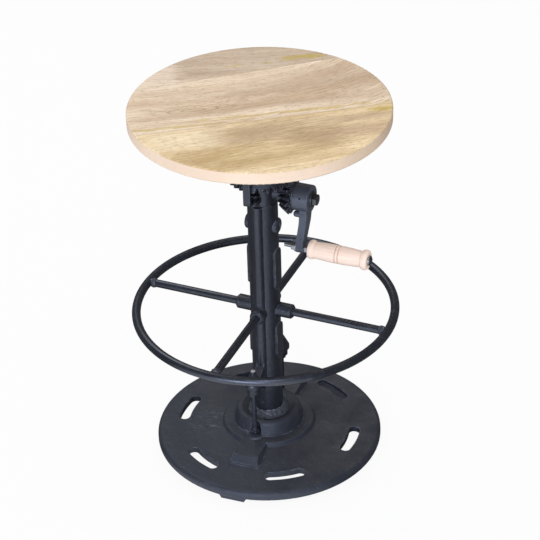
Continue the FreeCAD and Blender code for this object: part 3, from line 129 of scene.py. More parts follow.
def black_paint(name, tones, shine, lump, grit, depth, roughness, wear, dust, rounding=1.0, dust_above_shade_below=0.0,
                scuffed=None, bare_from=None, ior=1.5):
    """Black paint on iron: two tones in clouds, lumps and grit in mm under it, rubbed edges, dust and hairs.

    Edges look rounded to the radius rounding in mm, as paint flows over them. Dust lies only above the
    height dust_above_shade_below, and below it the paint is kept dark as painted shade. Scuffed is the
    middle, in mm, of a spot that boots have scraped pale. Where bare_from is given, grey steel shows above
    that height."""
    material, tree, shader, here = blank_material(name)
    lumps = put(tree, "TexNoise", {"Vector": here, "Scale": 1 / (lump * MM), "Detail": 4.0,
                                   "Roughness": 0.6}).outputs["Fac"]
    grits = put(tree, "TexNoise", {"Vector": here, "Scale": 1 / (grit * MM), "Detail": 2.0}).outputs["Fac"]
    # Clouds of 38 mm: where the spray lay thicker or thinner
    clouds = put(tree, "TexNoise", {"Vector": here, "Scale": 1 / (38 * MM), "Detail": 5.0,
                                    "Roughness": 0.65}).outputs["Fac"]
    patchy = put(tree, "MapRange", {"Value": clouds, "From Min": 0.32, "From Max": 0.70}).outputs["Result"]
    true = put(tree, "NewGeometry").outputs["Normal"]
    height = put(tree, "SeparateXYZ", {"Vector": here}).outputs["Z"]
    dusty = settled_dust(tree, true, here, height, patchy, dust, dust_above_shade_below)
    worn = rubbed_edges(tree, true, lumps, wear)
    scraped = scraped_hairs(tree, here, patchy, scuffed)
    tone = put(tree, "MixRGB", {"Fac": clouds, "Color1": srgb(tones[0]), "Color2": srgb(tones[1])}).outputs[0]
    for share, colour in ((dusty, "#46423c"), (worn, "#787e8a"), (scraped, "#8f939b")):
        tone = put(tree, "MixRGB", {"Fac": share, "Color1": tone, "Color2": srgb(colour)}).outputs[0]
    if bare_from is not None:
        bare = put(tree, "MapRange", {"Value": height, "From Min": bare_from,
                                      "From Max": bare_from + 1.5 * MM}).outputs["Result"]
        tone = put(tree, "MixRGB", {"Fac": bare, "Color1": tone, "Color2": srgb("#b9bcc2")}).outputs[0]
    tree.links.new(tone, shader.inputs["Base Color"])
    rough = put(tree, "MapRange", {"Value": clouds, "From Min": 0.3, "From Max": 0.7,
                                   "To Min": roughness - 0.08, "To Max": roughness + 0.12})
    tree.links.new(rough.outputs["Result"], shader.inputs["Roughness"])
    shader.inputs["IOR"].default_value = ior
    shader.inputs["Specular IOR Level"].default_value = shine
    # The reflections are tinted blue: a painted cool cast that stands for bluish light on the black parts
    shader.inputs["Specular Tint"].default_value = srgb("#dde6ff")
    normal = put(tree, "Bevel", {"Radius": rounding * MM}, samples=6).outputs[0]
    for relief, rise in ((lumps, depth * MM), (grits, depth * MM / 3)):
        normal = put(tree, "Bump", {"Height": relief, "Distance": rise, "Strength": 0.7,
                                    "Normal": normal}).outputs[0]
    tree.links.new(normal, shader.inputs["Normal"])
    return material


# The sand leaves lumps and grit under the paint. Edges are rubbed paler, brown dust lies on the plate
# and boots have scraped pale hairs at the left of the hub. No dust lies below the plate's face, so the
# rim stays dark and the floor of the closed slot is kept dark as painted shade.
dust_above_slot_shade = 21.5 * MM
base_paint = black_paint("painted_sand_cast_iron", ("#1b1e26", "#2c303a"), shine=1.0, lump=12, grit=1.6,
                         depth=1.6, roughness=0.52, wear=0.7, dust=0.6, rounding=2.6, dust_above_shade_below=dust_above_slot_shade,
                         scuffed=(-78, -32, 30))
finish_nodes(base_paint, "base_casting")

# Column: one iron casting with ribs, side pads and two lugs for the stays, and cast sockets for the
# spokes. Its spigot goes through the hub of the base. It is sprayed black with the parts bolted to it.
SATIN = ("#121419", "#23262e")

# Satin paint over fettled iron: smoother than the base, so that the ribs mirror the floor in front
column_paint = black_paint("painted_column_iron", SATIN, shine=1.0, lump=10, grit=1.8, depth=1.2,
                           roughness=0.33, wear=0.45, dust=0.4)
finish_nodes(column_paint, "column", "spoke_sockets")

# Column nut: a large forged steel nut with turned chamfers, under the base. It pulls the column's
# spigot down into the hub.
GLOSS = ("#101217", "#191c23")


def whole_turn(count):
    """Angles at even steps round a full turn, the last one short of the first."""
    return np.linspace(0, 2 * np.pi, count, endpoint=False)


def bevelled_hexagon(corner, bore, low, high, corner_turn):
    """Rows of radius and height, and the angles, of a nut or a bolt head with turned chamfers.

    The hexagon's radius is half its flats over the cosine of the angle from the middle of a flat. The
    chamfer is a cone, so the edge between the two lies as far in as the hexagon's radius is above the
    end face's, times the cone's slope. The rows run from the bore at the low end to that at the high."""
    angles = corner_turn + whole_turn(72)
    flat = corner * math.cos(np.pi / 6)
    hexagon = flat / np.cos((angles - corner_turn) % (np.pi / 3) - np.pi / 6)
    flush = 0 * hexagon
    face = flush + 0.95 * flat
    hole = flush + bore
    drop = (hexagon - face) * math.tan(np.pi / 6)
    radii = np.stack([hole, face, hexagon, hexagon, face, hole])
    heights = np.stack([flush + low, flush + low, low + drop, high - drop, flush + high, flush + high])
    return radii, heights, angles


def about_axis(radii, heights, angles, at, axis):
    """Points of a turned form: each row is carried round an axis, Z or X, through a point."""
    along = {"z": np.eye(3), "x": np.roll(np.eye(3), -1, axis=0)}[axis]
    first, second, main = along
    ring = np.cos(angles)[..., None] * first + np.sin(angles)[..., None] * second
    return np.asarray(at) + radii[..., None] * ring + heights[..., None] * main


def skin(points, hollow=False):
    """Vertices, quads and triangles over rows of points that close on themselves round an axis.

    A hollow form's last row joins its first. A solid one is closed at each end by a fan to the
    middle of its end row."""
    rows, columns = points.shape[:2]
    number = np.arange(rows * columns).reshape(rows, columns)
    upper = np.roll(number, -1, axis=0) if hollow else number[1:]
    lower = number[:len(upper)]
    after = np.roll(number, -1, axis=1)
    quads = np.stack([lower, after[:len(upper)], np.roll(upper, -1, axis=1), upper], axis=-1).reshape(-1, 4)
    vertices = points.reshape(-1, 3)
    if hollow:
        return vertices, quads, np.empty((0, 3), int)
    poles = np.stack([points[0].mean(axis=0), points[-1].mean(axis=0)])
    low_pole = np.full(columns, rows * columns)
    fans = np.concatenate([np.stack([after[0], number[0], low_pole], axis=-1),
                           np.stack([number[-1], after[-1], low_pole + 1], axis=-1)])
    return np.concatenate([vertices, poles]), quads, fans


def add_piece(name, skins, material, body, slot, *replaced, crease=35):
    """One mesh object from several skins, smooth but for creases in degrees, riding on a body."""
    starts = np.cumsum([0] + [len(vertices) for vertices, quads, fans in skins])
    vertices = np.concatenate([skin_of[0] for skin_of in skins])
    quads = np.concatenate([skin_of[1] + start for skin_of, start in zip(skins, starts)])
    fans = np.concatenate([skin_of[2] + start for skin_of, start in zip(skins, starts)])
    mesh = bpy.data.meshes.new(name)
    mesh.from_pydata(vertices.tolist(), [], quads.tolist() + fans.tolist())
    mesh.shade_smooth()
    mesh.set_sharp_from_angle(angle=math.radians(crease))
    mesh.materials.append(material)
    piece = bpy.data.objects.new(name, mesh)
    bpy.context.scene.collection.objects.link(piece)
    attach(piece, body)
    if replaced:
        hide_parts(*replaced)


# Gloss paint on drawn or forged steel: even and deep black, with a clean bright line along round bars
bar_paint = black_paint("painted_drawn_bar", GLOSS, shine=0.90, lump=22, grit=2.2, depth=0.05, roughness=0.28,
                        wear=0.3, dust=0.1, ior=1.65)
NUT_CREASE = 20
low, high = np.array(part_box("column_nut"))
spigot_bore = 15.1 * MM
nut = bevelled_hexagon(high[0], spigot_bore, low[2], high[2], 0)
add_piece("column_nut_forged", [skin(about_axis(*nut, (0, 0, 0), "z"), hollow=True)], bar_paint, "stand",
          "bar_black", "column_nut", crease=NUT_CREASE)

# Weld at the column's foot: a thick hand-laid bead that fills the cup round the tube. It is lumpy,
# with a ragged upper edge and slag marks, and is painted with the rest.
WELD_CREASE = 60
rng = np.random.default_rng(7)


def ripple(angles, rows, waves, decay):
    """Lumps from -1 to 1: a sum of cosines round the axis, each with a phase that drifts along the rows."""
    total = np.zeros((len(rows), len(angles)))
    for wave in waves:
        phase, drift = rng.uniform(0, 2 * np.pi), rng.uniform(-5, 5)
        total += np.cos(wave * angles[None, :] + phase + drift * rows[:, None]) / wave ** decay
    return total / np.abs(total).max()


# Paint over weld metal: greyer than the castings, partly its own paler paint and partly painted light in
# the shaded cup round the column's foot, scuffed pale at the front, with fine slag grit
weld_paint = black_paint("painted_weld_bead", ("#2a2d34", "#474b54"), shine=0.6, lump=3.5, grit=0.9,
                         depth=1.0, roughness=0.42, wear=0.9, dust=0.5, scuffed=(6, -26, 58))
low, high = np.array(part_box("column_weld"))
tube, cup = 21.2 * MM, high[0]
edge_rise, full_rise, slag_rise = 4.6 * MM, high[2] - low[2], 1.5 * MM
weld_turns = whole_turn(240)
inward = np.linspace(0, 1, 24)
ragged_rise = 0.84 + 0.16 * ripple(weld_turns, inward, (2, 3, 5, 9, 14), 0.3)
bead_top = edge_rise + (full_rise - edge_rise) * inward[:, None] ** 1.3 * ragged_rise
slag = ripple(weld_turns, 4 * inward, (11, 17, 23, 31, 44, 58), 0.3)
bead_top += slag_rise * slag * np.sin(np.pi * inward)[:, None]
under = 0 * weld_turns
radii = np.concatenate([np.stack([under + tube, under + cup]), cup + (tube - cup) * inward[:, None] + under])
heights = low[2] + np.concatenate([np.stack([under, under]), bead_top])
column_bead = skin(about_axis(radii, heights, weld_turns, (0, 0, 0), "z"), hollow=True)
add_piece("column_weld_bead", [column_bead], weld_paint, "stand", "bar_black", "column_weld",
          crease=WELD_CREASE)

# Stay rods: two drawn rods that brace the column, screwed into the hub and up through the lugs,
# with a nut and washer on the hub and a lock nut under each lug. Their cut tops are bare steel.


def threaded(radius, depth, lead, starts, heights, angles):
    """Radius of a screw: the crest less a groove, a clipped triangle wave of height and angle."""
    turn = starts * (heights[:, None] / lead - angles[None, :] / (2 * np.pi))
    wave = np.abs((turn % 1) * 2 - 1)
    return radius - depth * np.clip(wave * 2.2 - 0.6, 0, 1)


# Satin paint on threaded rod: dull, so that the thin rods stay dark, and bare grey at the sawn top
rod_low, rod_high = np.array(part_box("stay_rods"))
rod_paint = black_paint("painted_stay_rod", SATIN, shine=1.0, lump=12, grit=1.6, depth=0.25, roughness=0.50,
                        wear=0.3, dust=0.3, bare_from=rod_high[2] - 1.2 * MM)
rod_radius, rod_offset = 3.6 * MM, 52 * MM
low_thread, high_thread = 24 * MM, 34 * MM
rod_groove, rod_pitch = 0.42 * MM, 1.25 * MM
top_chamfer = np.array([0.2, 0.4, 0.6]) * MM
ROD_SPOTS = ((0, rod_offset, 0), (0, -rod_offset, 0))
rod_turns = whole_turn(32)
rod_rows = np.arange(rod_low[2], rod_high[2], 0.22 * MM)
screwed = (rod_rows < rod_low[2] + low_thread) | (rod_rows > rod_high[2] - high_thread)
rod_radii = threaded(rod_radius, (rod_groove * screwed)[:, None], rod_pitch, 1, rod_rows, rod_turns)
rod_radii[-3:] -= top_chamfer[:, None]
rod_heights = rod_rows[:, None] + 0 * rod_radii
rods = [skin(about_axis(rod_radii, rod_heights, rod_turns, spot, "z")) for spot in ROD_SPOTS]
add_piece("stay_rods_threaded", rods, rod_paint, "stand", "bar_black", "stay_rods")
nuts_low, nuts_high = np.array(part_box("stay_nuts"))
stay_nut_tall = 6 * MM
stay_nuts = []
for bottom in (nuts_low[2], nuts_high[2] - stay_nut_tall):
    nut = bevelled_hexagon(nuts_high[0], rod_radius, bottom, bottom + stay_nut_tall, 0)
    stay_nuts += [skin(about_axis(*nut, spot, "z"), hollow=True) for spot in ROD_SPOTS]
add_piece("stay_nuts_bevelled", stay_nuts, bar_paint, "stand", "bar_black", "stay_nuts", crease=NUT_CREASE)
finish_nodes(bar_paint, "stay_washers")

# Foot ring: half-inch round bar rolled to a hoop, its ends butt-welded and ground, on four spokes
# that are let into sockets on the column. Hand-laid beads join the spokes to the hoop.
low, high = np.array(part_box("foot_ring"))
bar = (high[2] - low[2]) / 2
hoop = high[0] - bar
ring_height = (high[2] + low[2]) / 2
round_hoop, round_bar = whole_turn(360), whole_turn(32)
joint_azimuth, joint_length, joint_swell = math.radians(312), 5 * MM, 0.45 * MM
from_joint = (round_hoop - joint_azimuth) * hoop / joint_length
swell = bar + joint_swell * np.exp(-from_joint ** 2)[:, None] * (1 + 0.3 * np.cos(3 * round_bar))[None, :]
reach = hoop + swell * np.cos(round_bar)
hoop_points = np.stack([reach * np.cos(round_hoop)[:, None], reach * np.sin(round_hoop)[:, None],
                        ring_height + swell * np.sin(round_bar)], axis=-1)
add_piece("foot_ring_rolled", [skin(np.swapaxes(hoop_points, 0, 1)[::-1], hollow=True)], bar_paint, "stand",
          "bar_black", "foot_ring")
finish_nodes(bar_paint, "foot_spokes")
spoke, bead_root = 5.8 * MM, 0.4 * MM
bead_length, bead_height, bead_overlap = 6.0 * MM, 1.5 * MM, 1.35
bead_turns = whole_turn(96)
bead_rows = np.linspace(0, 1, 14)


def spoke_bead(azimuth):
    """A bead round a spoke: half a sine along it, with 15 ripples round it that drift, and slow lumps."""
    crown = np.sin(np.pi * bead_rows[:, None] ** 0.8)
    crown = crown * (1 + 0.16 * np.cos(15 * bead_turns + 4 * bead_rows[:, None]))
    crown *= 0.86 + 0.14 * ripple(bead_turns, bead_rows, (2, 3, 5), 0.5)
    out = hoop - bar - bead_length + bead_overlap * bead_length * bead_rows
    root = 0 * bead_turns[None, :]
    radii = np.concatenate([spoke + bead_height * crown, root + spoke - bead_root])
    heights = np.concatenate([out[:, None] + 0 * crown, root + out.mean()])
    along, across, up = np.moveaxis(about_axis(radii, heights, bead_turns, (0, 0, ring_height), "x"), -1, 0)
    turned = (along * math.cos(azimuth) - across * math.sin(azimuth),
              along * math.sin(azimuth) + across * math.cos(azimuth), up)
    return skin(np.stack(turned, axis=-1), hollow=True)


spoke_beads = [spoke_bead(azimuth) for azimuth in np.arange(4) * np.pi / 2]
add_piece("spoke_weld_beads", spoke_beads, weld_paint, "stand", "bar_black", "spoke_welds",
          crease=WELD_CREASE)

# Key screws: round-headed screws each side of the column, whose tips run in the spindle's keyways.
# Their heads are turned, and painted with the column.

# Satin paint on turned heads: rubbed bright along the rim
key_paint = black_paint("painted_screw_head", SATIN, shine=0.9, lump=5, grit=1.4, depth=0.3, roughness=0.32,
                        wear=0.9, dust=0.3)
finish_nodes(key_paint, "key_screws")

# Head casting, bushes and thrust washers: the neck is cast iron, fixed on the column and painted with
# it. The bushes and washers that the spindle, gear, crank and seat run on are turned bronze.
finish_nodes(column_paint, "head_casting")


def turned_metal(name, colour, dull, roughness, metallic=1.0):
    """Metal from the lathe: tone and roughness in patches of 6 mm, and turning marks as a 0.8 mm grain."""
    material, tree, shader, here = blank_material(name)
    patches = put(tree, "TexNoise", {"Vector": here, "Scale": 1 / (6 * MM), "Detail": 4.0}).outputs["Fac"]
    grain = put(tree, "TexNoise", {"Vector": here, "Scale": 1 / (0.8 * MM), "Detail": 2.0}).outputs["Fac"]
    tone = put(tree, "MixRGB", {"Fac": patches, "Color1": srgb(colour), "Color2": srgb(dull)}).outputs[0]
    tree.links.new(tone, shader.inputs["Base Color"])
    shader.inputs["Metallic"].default_value = metallic
    rough = put(tree, "MapRange", {"Value": patches, "To Min": roughness - 0.1, "To Max": roughness + 0.15})
    tree.links.new(rough.outputs["Result"], shader.inputs["Roughness"])
    soft = put(tree, "Bevel", {"Radius": 0.5 * MM}, samples=6).outputs[0]
    bump = put(tree, "Bump", {"Height": grain, "Distance": 0.06 * MM, "Strength": 0.5, "Normal": soft})
    tree.links.new(bump.outputs[0], shader.inputs["Normal"])
    return material


# Bronze under old oil: a dull brown that shows only as dark rings between the black parts
bronze = turned_metal("oil_darkened_bronze", "#352a1c", "#1f1a14", 0.45)
finish_nodes(bronze, "spindle_bush", "thrust_washer_low", "thrust_washer_high", "crank_bush", "lift_nut",
             "swivel_bush", "swivel_washer")

# Bevel gears: a crown gear round the spindle and a pinion on the crank, cast iron with cut teeth.
# The crown gear runs between the thrust washers, and two pins join the pinion to the crank's hub.

# Iron under old grease: black and shiny in the gaps, and rubbed grey along the teeth
gear_paint = black_paint("greased_gear_iron", GLOSS, shine=0.8, lump=4, grit=1.1, depth=0.4, roughness=0.36,
                         wear=0.8, dust=0.2)
finish_nodes(gear_paint, "crown_gear", "bevel_pinion")

# Gear stirrup: a flat steel strap bent round the crown gear, with a bridge that keeps it down. It has
# the column's paint, and two hexagon bolts hold its feet to the ears of the head casting.
finish_nodes(column_paint, "gear_stirrup")
HEAD_MIDDLE = 0.2 * MM


def hexagon_bolt(corner, shank, low, seat, high, corner_turn):
    """Rows of a hexagon bolt: a plain shank from its low end to the head's seat, then the bevelled head."""
    radii, heights, angles = bevelled_hexagon(corner, HEAD_MIDDLE, seat, high, corner_turn)
    plain = 0 * angles
    radii = np.concatenate([np.stack([plain + shank, plain + shank]), radii[1:]])
    heights = np.concatenate([np.stack([plain + low, plain + seat]), heights[1:]])
    return radii, heights, angles


low, high = np.array(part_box("stirrup_bolts"))
ear_bolt_head, ear_bolt_shank = 4.2 * MM, 3.0 * MM
ear_offset = high[1] - high[0] * math.cos(np.pi / 6)
ear_bolt = hexagon_bolt(high[0], ear_bolt_shank, low[2], high[2] - ear_bolt_head, high[2], 0)
EAR_SPOTS = ((0, ear_offset, 0), (0, -ear_offset, 0))
stirrup_bolts = [skin(about_axis(*ear_bolt, spot, "z")) for spot in EAR_SPOTS]
add_piece("stirrup_bolts_hexagon", stirrup_bolts, bar_paint, "stand", "bar_black", "stirrup_bolts",
          crease=NUT_CREASE)

# Crank stud, washer and bolt: the stud is turned steel, fixed in the head casting. A hexagon
# bolt over a flat washer, both blackened, keeps the crank on it.

# Zinc on turned steel: pale grey with a soft shine. Blackened steel: the same grain, much darker
steel = turned_metal("dull_zinc_steel", "#c8cbd0", "#989ba2", 0.34)
black_steel = turned_metal("blackened_steel", "#74777d", "#4a4d53", 0.34, metallic=0.9)
finish_nodes(steel, "crank_stud", "drive_pins")
finish_nodes(black_steel, "crank_washer")
low, high = np.array(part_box("crank_bolt"))
stud_height = (low[2] + high[2]) / 2
bolt_corners = (high[2] - low[2]) / 2
crank_bolt_head, crank_bolt_shank = 6.2 * MM, 4 * MM
crank_bolt = hexagon_bolt(bolt_corners, crank_bolt_shank, low[0], high[0] - crank_bolt_head, high[0],
                          np.pi / 2)
crank_bolt_skin = skin(about_axis(*crank_bolt, (0, 0, stud_height), "x"))
add_piece("crank_bolt_hexagon", [crank_bolt_skin], black_steel, "stand", "steel", "crank_bolt",
          crease=NUT_CREASE)

# Crank arm and peg: a forged hub and tapered bar, ground and painted black, pinned to the pinion.
# A short peg with a rounded end is let into the arm below the stud.

# Paint on ground steel: bluish and smooth, with edges that hands rub pale. Its tones are paler than the
# column's, as painted light along the arm's front
crank_paint = black_paint("painted_forged_crank", ("#2c303a", "#4c5360"), shine=1.0, lump=9, grit=1.5,
                          depth=0.4, roughness=0.30, wear=0.6, dust=0.3)
finish_nodes(crank_paint, "crank_arm", "crank_peg")

# Handle bolt: a long zinc-plated bolt through the arm, threaded at its inner end, with a nut each
# side of the arm and two flat washers. Its round head beyond the grip is blackened.
low, high = np.array(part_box("handle_bolt"))
handle_height = (low[2] + high[2]) / 2
bolt_radius, bolt_head = 3.0 * MM, (high[2] - low[2]) / 2
cap_tall, cap_middle = 2.2 * MM, 0.1 * MM
tail_length, tail_groove, tail_pitch = 36 * MM, 0.5 * MM, 1.25 * MM
bolt_turns = whole_turn(32)
tail = np.arange(low[0], low[0] + tail_length, 0.18 * MM)
tail_radii = threaded(bolt_radius, tail_groove, tail_pitch, 1, tail, bolt_turns)
tail_radii[:6] -= np.linspace(0.9, 0.1, 6)[:, None] * MM
shank_end = high[0] - cap_tall
plain = 0 * bolt_turns[None, :]
radii = np.concatenate([tail_radii, plain + bolt_radius])
heights = np.concatenate([tail[:, None] + 0 * tail_radii, plain + shank_end])
handle_bolt = skin(about_axis(radii, heights, bolt_turns, (0, 0, handle_height), "x"))
add_piece("handle_bolt_threaded", [handle_bolt], steel, "crank", "steel", "handle_bolt")
dome = np.linspace(0, np.pi / 2, 10)[:, None]
radii = (bolt_head - cap_middle) * np.cos(dome) ** 0.5 + cap_middle + plain
heights = shank_end + cap_tall * np.sin(dome) + plain
cap = skin(about_axis(radii, heights, bolt_turns, (0, 0, handle_height), "x"))
add_piece("handle_bolt_cap", [cap], black_steel, "crank", "steel")
low, high = np.array(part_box("handle_nuts"))
handle_nut_corners, handle_nut_tall = (high[2] - low[2]) / 2, 5.5 * MM
handle_nuts = []
for start in (low[0], high[0] - handle_nut_tall):
    nut = bevelled_hexagon(handle_nut_corners, bolt_radius, start, start + handle_nut_tall, np.pi / 2)
    handle_nuts.append(skin(about_axis(*nut, (0, 0, handle_height), "x"), hollow=True))
add_piece("handle_nuts_bevelled", handle_nuts, steel, "crank", "steel", "handle_nuts", crease=NUT_CREASE)
finish_nodes(steel, "handle_washers")

# Hand grip: pale hardwood turned on a lathe, with a bead at each end and two grooves at the middle.
# It is bored right through, runs on the handle bolt, and is sanded and left nearly bare.
low, high = np.array(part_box("hand_grip"))
GROOVES = (41.7, 46.3)

# Sanded bare wood: pale and matt, with faint grain along it and darker brown in the grooves
grip_wood, tree, shader, here = blank_material("sanded_turned_hardwood")
# Grain 46 mm long and 2.2 mm wide, and fibres 7 mm long and 0.6 mm wide
grain_lines = put(tree, "Mapping", {"Vector": here, "Scale": (1 / (46 * MM), 1 / (2.2 * MM), 1 / (2.2 * MM))})
lines = put(tree, "TexNoise", {"Vector": grain_lines.outputs[0], "Scale": 1.0, "Detail": 3.0}).outputs["Fac"]
fibre_lines = put(tree, "Mapping", {"Vector": here, "Scale": (1 / (7 * MM), 1 / (0.6 * MM), 1 / (0.6 * MM))})
fibre = put(tree, "TexNoise", {"Vector": fibre_lines.outputs[0], "Scale": 1.0, "Detail": 1.0}).outputs["Fac"]
band = put(tree, "MapRange", {"Value": lines, "From Min": 0.38, "From Max": 0.66}).outputs["Result"]
tone = put(tree, "MixRGB", {"Fac": band, "Color1": srgb("#f6dfd0"), "Color2": srgb("#f0d6c6")}).outputs[0]
pore = put(tree, "MapRange", {"Value": fibre, "From Min": 0.58, "From Max": 0.78,
                              "To Max": 0.15}).outputs["Result"]
tone = put(tree, "MixRGB", {"Fac": pore, "Color1": tone, "Color2": srgb("#cfa78c")}).outputs[0]
for groove in GROOVES:
    from_groove = put(tree, "Mapping", {"Vector": here, "Location": (-low[0] - groove * MM, 0, 0),
                                        "Scale": (1, 0, 0)}).outputs[0]
    away = put(tree, "VectorMath", {0: from_groove}, operation="LENGTH").outputs["Value"]
    groove_darkening = put(tree, "MapRange", {"Value": away, "From Min": 1.0 * MM, "From Max": 0.3 * MM,
                                   "To Max": 0.5}).outputs["Result"]
    tone = put(tree, "MixRGB", {"Fac": groove_darkening, "Color1": tone, "Color2": srgb("#a9785a")}).outputs[0]
tree.links.new(tone, shader.inputs["Base Color"])
rough = put(tree, "MapRange", {"Value": lines, "To Min": 0.42, "To Max": 0.62})
tree.links.new(rough.outputs["Result"], shader.inputs["Roughness"])
bump = put(tree, "Bump", {"Height": fibre, "Distance": 0.08 * MM, "Strength": 0.5})
tree.links.new(bump.outputs[0], shader.inputs["Normal"])

# The profile in mm from the inner end: a belly through a few radii, less a bell-shaped dip at each
# groove, and at each end a bead, half an ellipse, never thinner than the neck beside it
grip_start = low[0] + 1.6 * MM
NECK = 11.0
NEAR_BEAD, FAR_BEAD, BEAD_HALF = (5.4, 13.6), (83.4, 14.4), 9.6
NEAR_EDGE, FAR_EDGE = 10.2, 78.2
BELLY_AT = (0, 10, 13, 30, 44, 62, 74, 79, 88)
BELLY_RADIUS = (11.6, 11.6, 12.0, 12.9, 13.1, 12.6, 11.8, NECK, NECK)
grip_bore = 3.3 * MM
where = np.linspace(0, (high[0] - grip_start) / MM, 320)
spot = where + (grip_start - low[0]) / MM
belly = np.interp(spot, BELLY_AT, BELLY_RADIUS)
for groove in GROOVES:
    belly -= 0.9 * np.exp(-((spot - groove) / 0.8) ** 2)
beads = [np.maximum(radius * np.sqrt(np.clip(1 - ((spot - middle) / BEAD_HALF) ** 2, 0, 1)), NECK)
         for middle, radius in (NEAR_BEAD, FAR_BEAD)]
grip_profile = np.where(spot < NEAR_EDGE, beads[0], np.where(spot > FAR_EDGE, beads[1], belly))
grip_turns = whole_turn(64)
radii = np.concatenate([[grip_bore], grip_profile * MM, [grip_bore]])[:, None] + 0 * grip_turns
heights = np.concatenate([[grip_start], grip_start + where * MM, [high[0]]])[:, None] + 0 * grip_turns
grip = skin(about_axis(radii, heights, grip_turns, (0, 0, handle_height), "x"), hollow=True)
add_piece("hand_grip_turned", [grip], grip_wood, "grip", "grip_wood", "hand_grip")

# Lift spindle: a steel screw with a two-start square thread, two keyways down its sides, a collar
# that stops on the bridge, and a plain journal on which the seat turns.
low, high = np.array(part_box("lift_spindle"))
collar_radius = high[0]
screw_radius, screw_groove, screw_lead, screw_starts = 13.5 * MM, 1.6 * MM, 12 * MM, 2
journal_radius = 10.4 * MM
collar_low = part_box("gear_stirrup")[1][2] + 1.5 * MM
collar_high = collar_low + 6 * MM
key_low, key_high = np.array(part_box("key_screws"))
key_height = (key_low[2] + key_high[2]) / 2
keyway_floor, keyway_half = 10.2 * MM, 2.9 * MM
keyway_low, keyway_high = key_height - 164 * MM - keyway_half, key_height + 4 * MM + keyway_half
screw_turns = whole_turn(96)
screw_rows = np.arange(low[2], collar_low, 0.7 * MM)
screw_radii = threaded(screw_radius, screw_groove, screw_lead, screw_starts, screw_rows, screw_turns)
in_keyway = ((screw_rows > keyway_low) & (screw_rows < keyway_high))[:, None]
in_keyway = in_keyway & (np.abs(np.tan(screw_turns))[None, :] < keyway_half / keyway_floor)
keyway_radius = keyway_floor / np.abs(np.cos(screw_turns))[None, :]
screw_radii = np.where(in_keyway, np.minimum(screw_radii, keyway_radius), screw_radii)
top_radii = np.array([screw_radius, collar_radius, collar_radius, journal_radius, journal_radius])
top_heights = np.array([collar_low, collar_low, collar_high, collar_high, high[2]])
radii = np.concatenate([screw_radii, top_radii[:, None] + 0 * screw_turns])
heights = np.concatenate([screw_rows, top_heights])[:, None] + 0 * screw_turns
spindle = skin(about_axis(radii, heights, screw_turns, (0, 0, 0), "z"))
add_piece("lift_spindle_threaded", [spindle], steel, "spindle", "steel", "lift_spindle")
finish_nodes(steel, "spindle_foot", "spindle_foot_screw", "pivot_washer", "pivot_bolt")

# Seat flange and screws: a cast-iron plate with a socket that turns on the spindle's journal, painted
# with the column. Six steel screws hold it up against the seat board.
finish_nodes(column_paint, "seat_flange")
finish_nodes(steel, "seat_screws")

# Seat board: three mango-wood planks glued edge to edge, turned to a disc, sanded and waxed. Along
# the middle plank the grain sweeps up to the right, and rings close round an eye at the left.
PLANK_AZIMUTH = 32.5
BACK_SEAM, FRONT_SEAM = (102, 0.129), (-38, 0.052)

# Waxed wood: a soft sheen over a tone for each plank, with grey-brown figure, olive-yellow stain and
# short dark pores. Its coordinates are mm along the planks (p) and across them (q).
seat_wood, tree, shader, here = blank_material("waxed_mango_wood")
planks = put(tree, "Mapping", {"Vector": here, "Rotation": (0, 0, math.radians(-PLANK_AZIMUTH)),
                               "Scale": (1 / MM, 1 / MM, 1 / MM)}).outputs[0]
place = put(tree, "SeparateXYZ", {"Vector": planks})
p, q = place.outputs["X"], place.outputs["Y"]


def beyond_line(offset, climb, width=0.5):
    """Distance past a plank edge and 1 beyond it: offset in mm at the middle and climb in mm per mm."""
    edge = put(tree, "Math", {0: p, 1: climb, 2: offset}, operation="MULTIPLY_ADD").outputs[0]
    past = put(tree, "Math", {0: q, 1: edge}, operation="SUBTRACT").outputs[0]
    beyond = put(tree, "MapRange", {"Value": past, "From Min": -width, "From Max": width})
    return past, beyond.outputs["Result"]


past_back, in_back = beyond_line(*BACK_SEAM)
past_front, not_front = beyond_line(*FRONT_SEAM)
in_front = put(tree, "Math", {0: 1.0, 1: not_front}, operation="SUBTRACT").outputs[0]
in_middle = put(tree, "Math", {0: not_front, 1: in_back}, operation="SUBTRACT").outputs[0]

# Grain lines are the level lines of a label in mm: across the plank, less a bend that grows with
# the square of the distance along it, plus a bump round the eye and a slow sway. The outer planks are
# shifted far off, so that their grain differs, and climb at their own slopes
EYE = (-88, 8)
EYE_STRETCH, EYE_SPREAD, EYE_RISE = 4.5, 8, 10
BEND_START, BEND_LOW, BEND_GROWTH, BEND_FROM = -70, 0.00040, 0.000006, -22
SWAY_LENGTH, SWAY = 110, 18.0
BACK_SHIFT, BACK_CLIMB = 400, 0.10
FRONT_SHIFT, FRONT_CLIMB = -400, -0.13
sway = put(tree, "TexNoise", {"Vector": planks, "Scale": 1 / SWAY_LENGTH, "Detail": 1.0}).outputs["Fac"]
run = put(tree, "Math", {0: p, 1: BEND_START}, operation="SUBTRACT").outputs[0]
run = put(tree, "Math", {0: run, 1: 0.0}, operation="MAXIMUM").outputs[0]
run = put(tree, "Math", {0: run, 1: 2.0}, operation="POWER").outputs[0]
curve = put(tree, "Math", {0: q, 1: BEND_GROWTH, 2: BEND_LOW - BEND_FROM * BEND_GROWTH},
            operation="MULTIPLY_ADD").outputs[0]
bend = put(tree, "Math", {0: run, 1: curve}, operation="MULTIPLY").outputs[0]
eye_long = EYE_STRETCH * EYE_SPREAD
from_eye = put(tree, "Mapping", {"Vector": planks, "Location": (-EYE[0] / eye_long, -EYE[1] / EYE_SPREAD, 0),
                                 "Scale": (1 / eye_long, 1 / EYE_SPREAD, 0)}).outputs[0]
eye_far = put(tree, "VectorMath", {0: from_eye, 1: from_eye}, operation="DOT_PRODUCT").outputs["Value"]
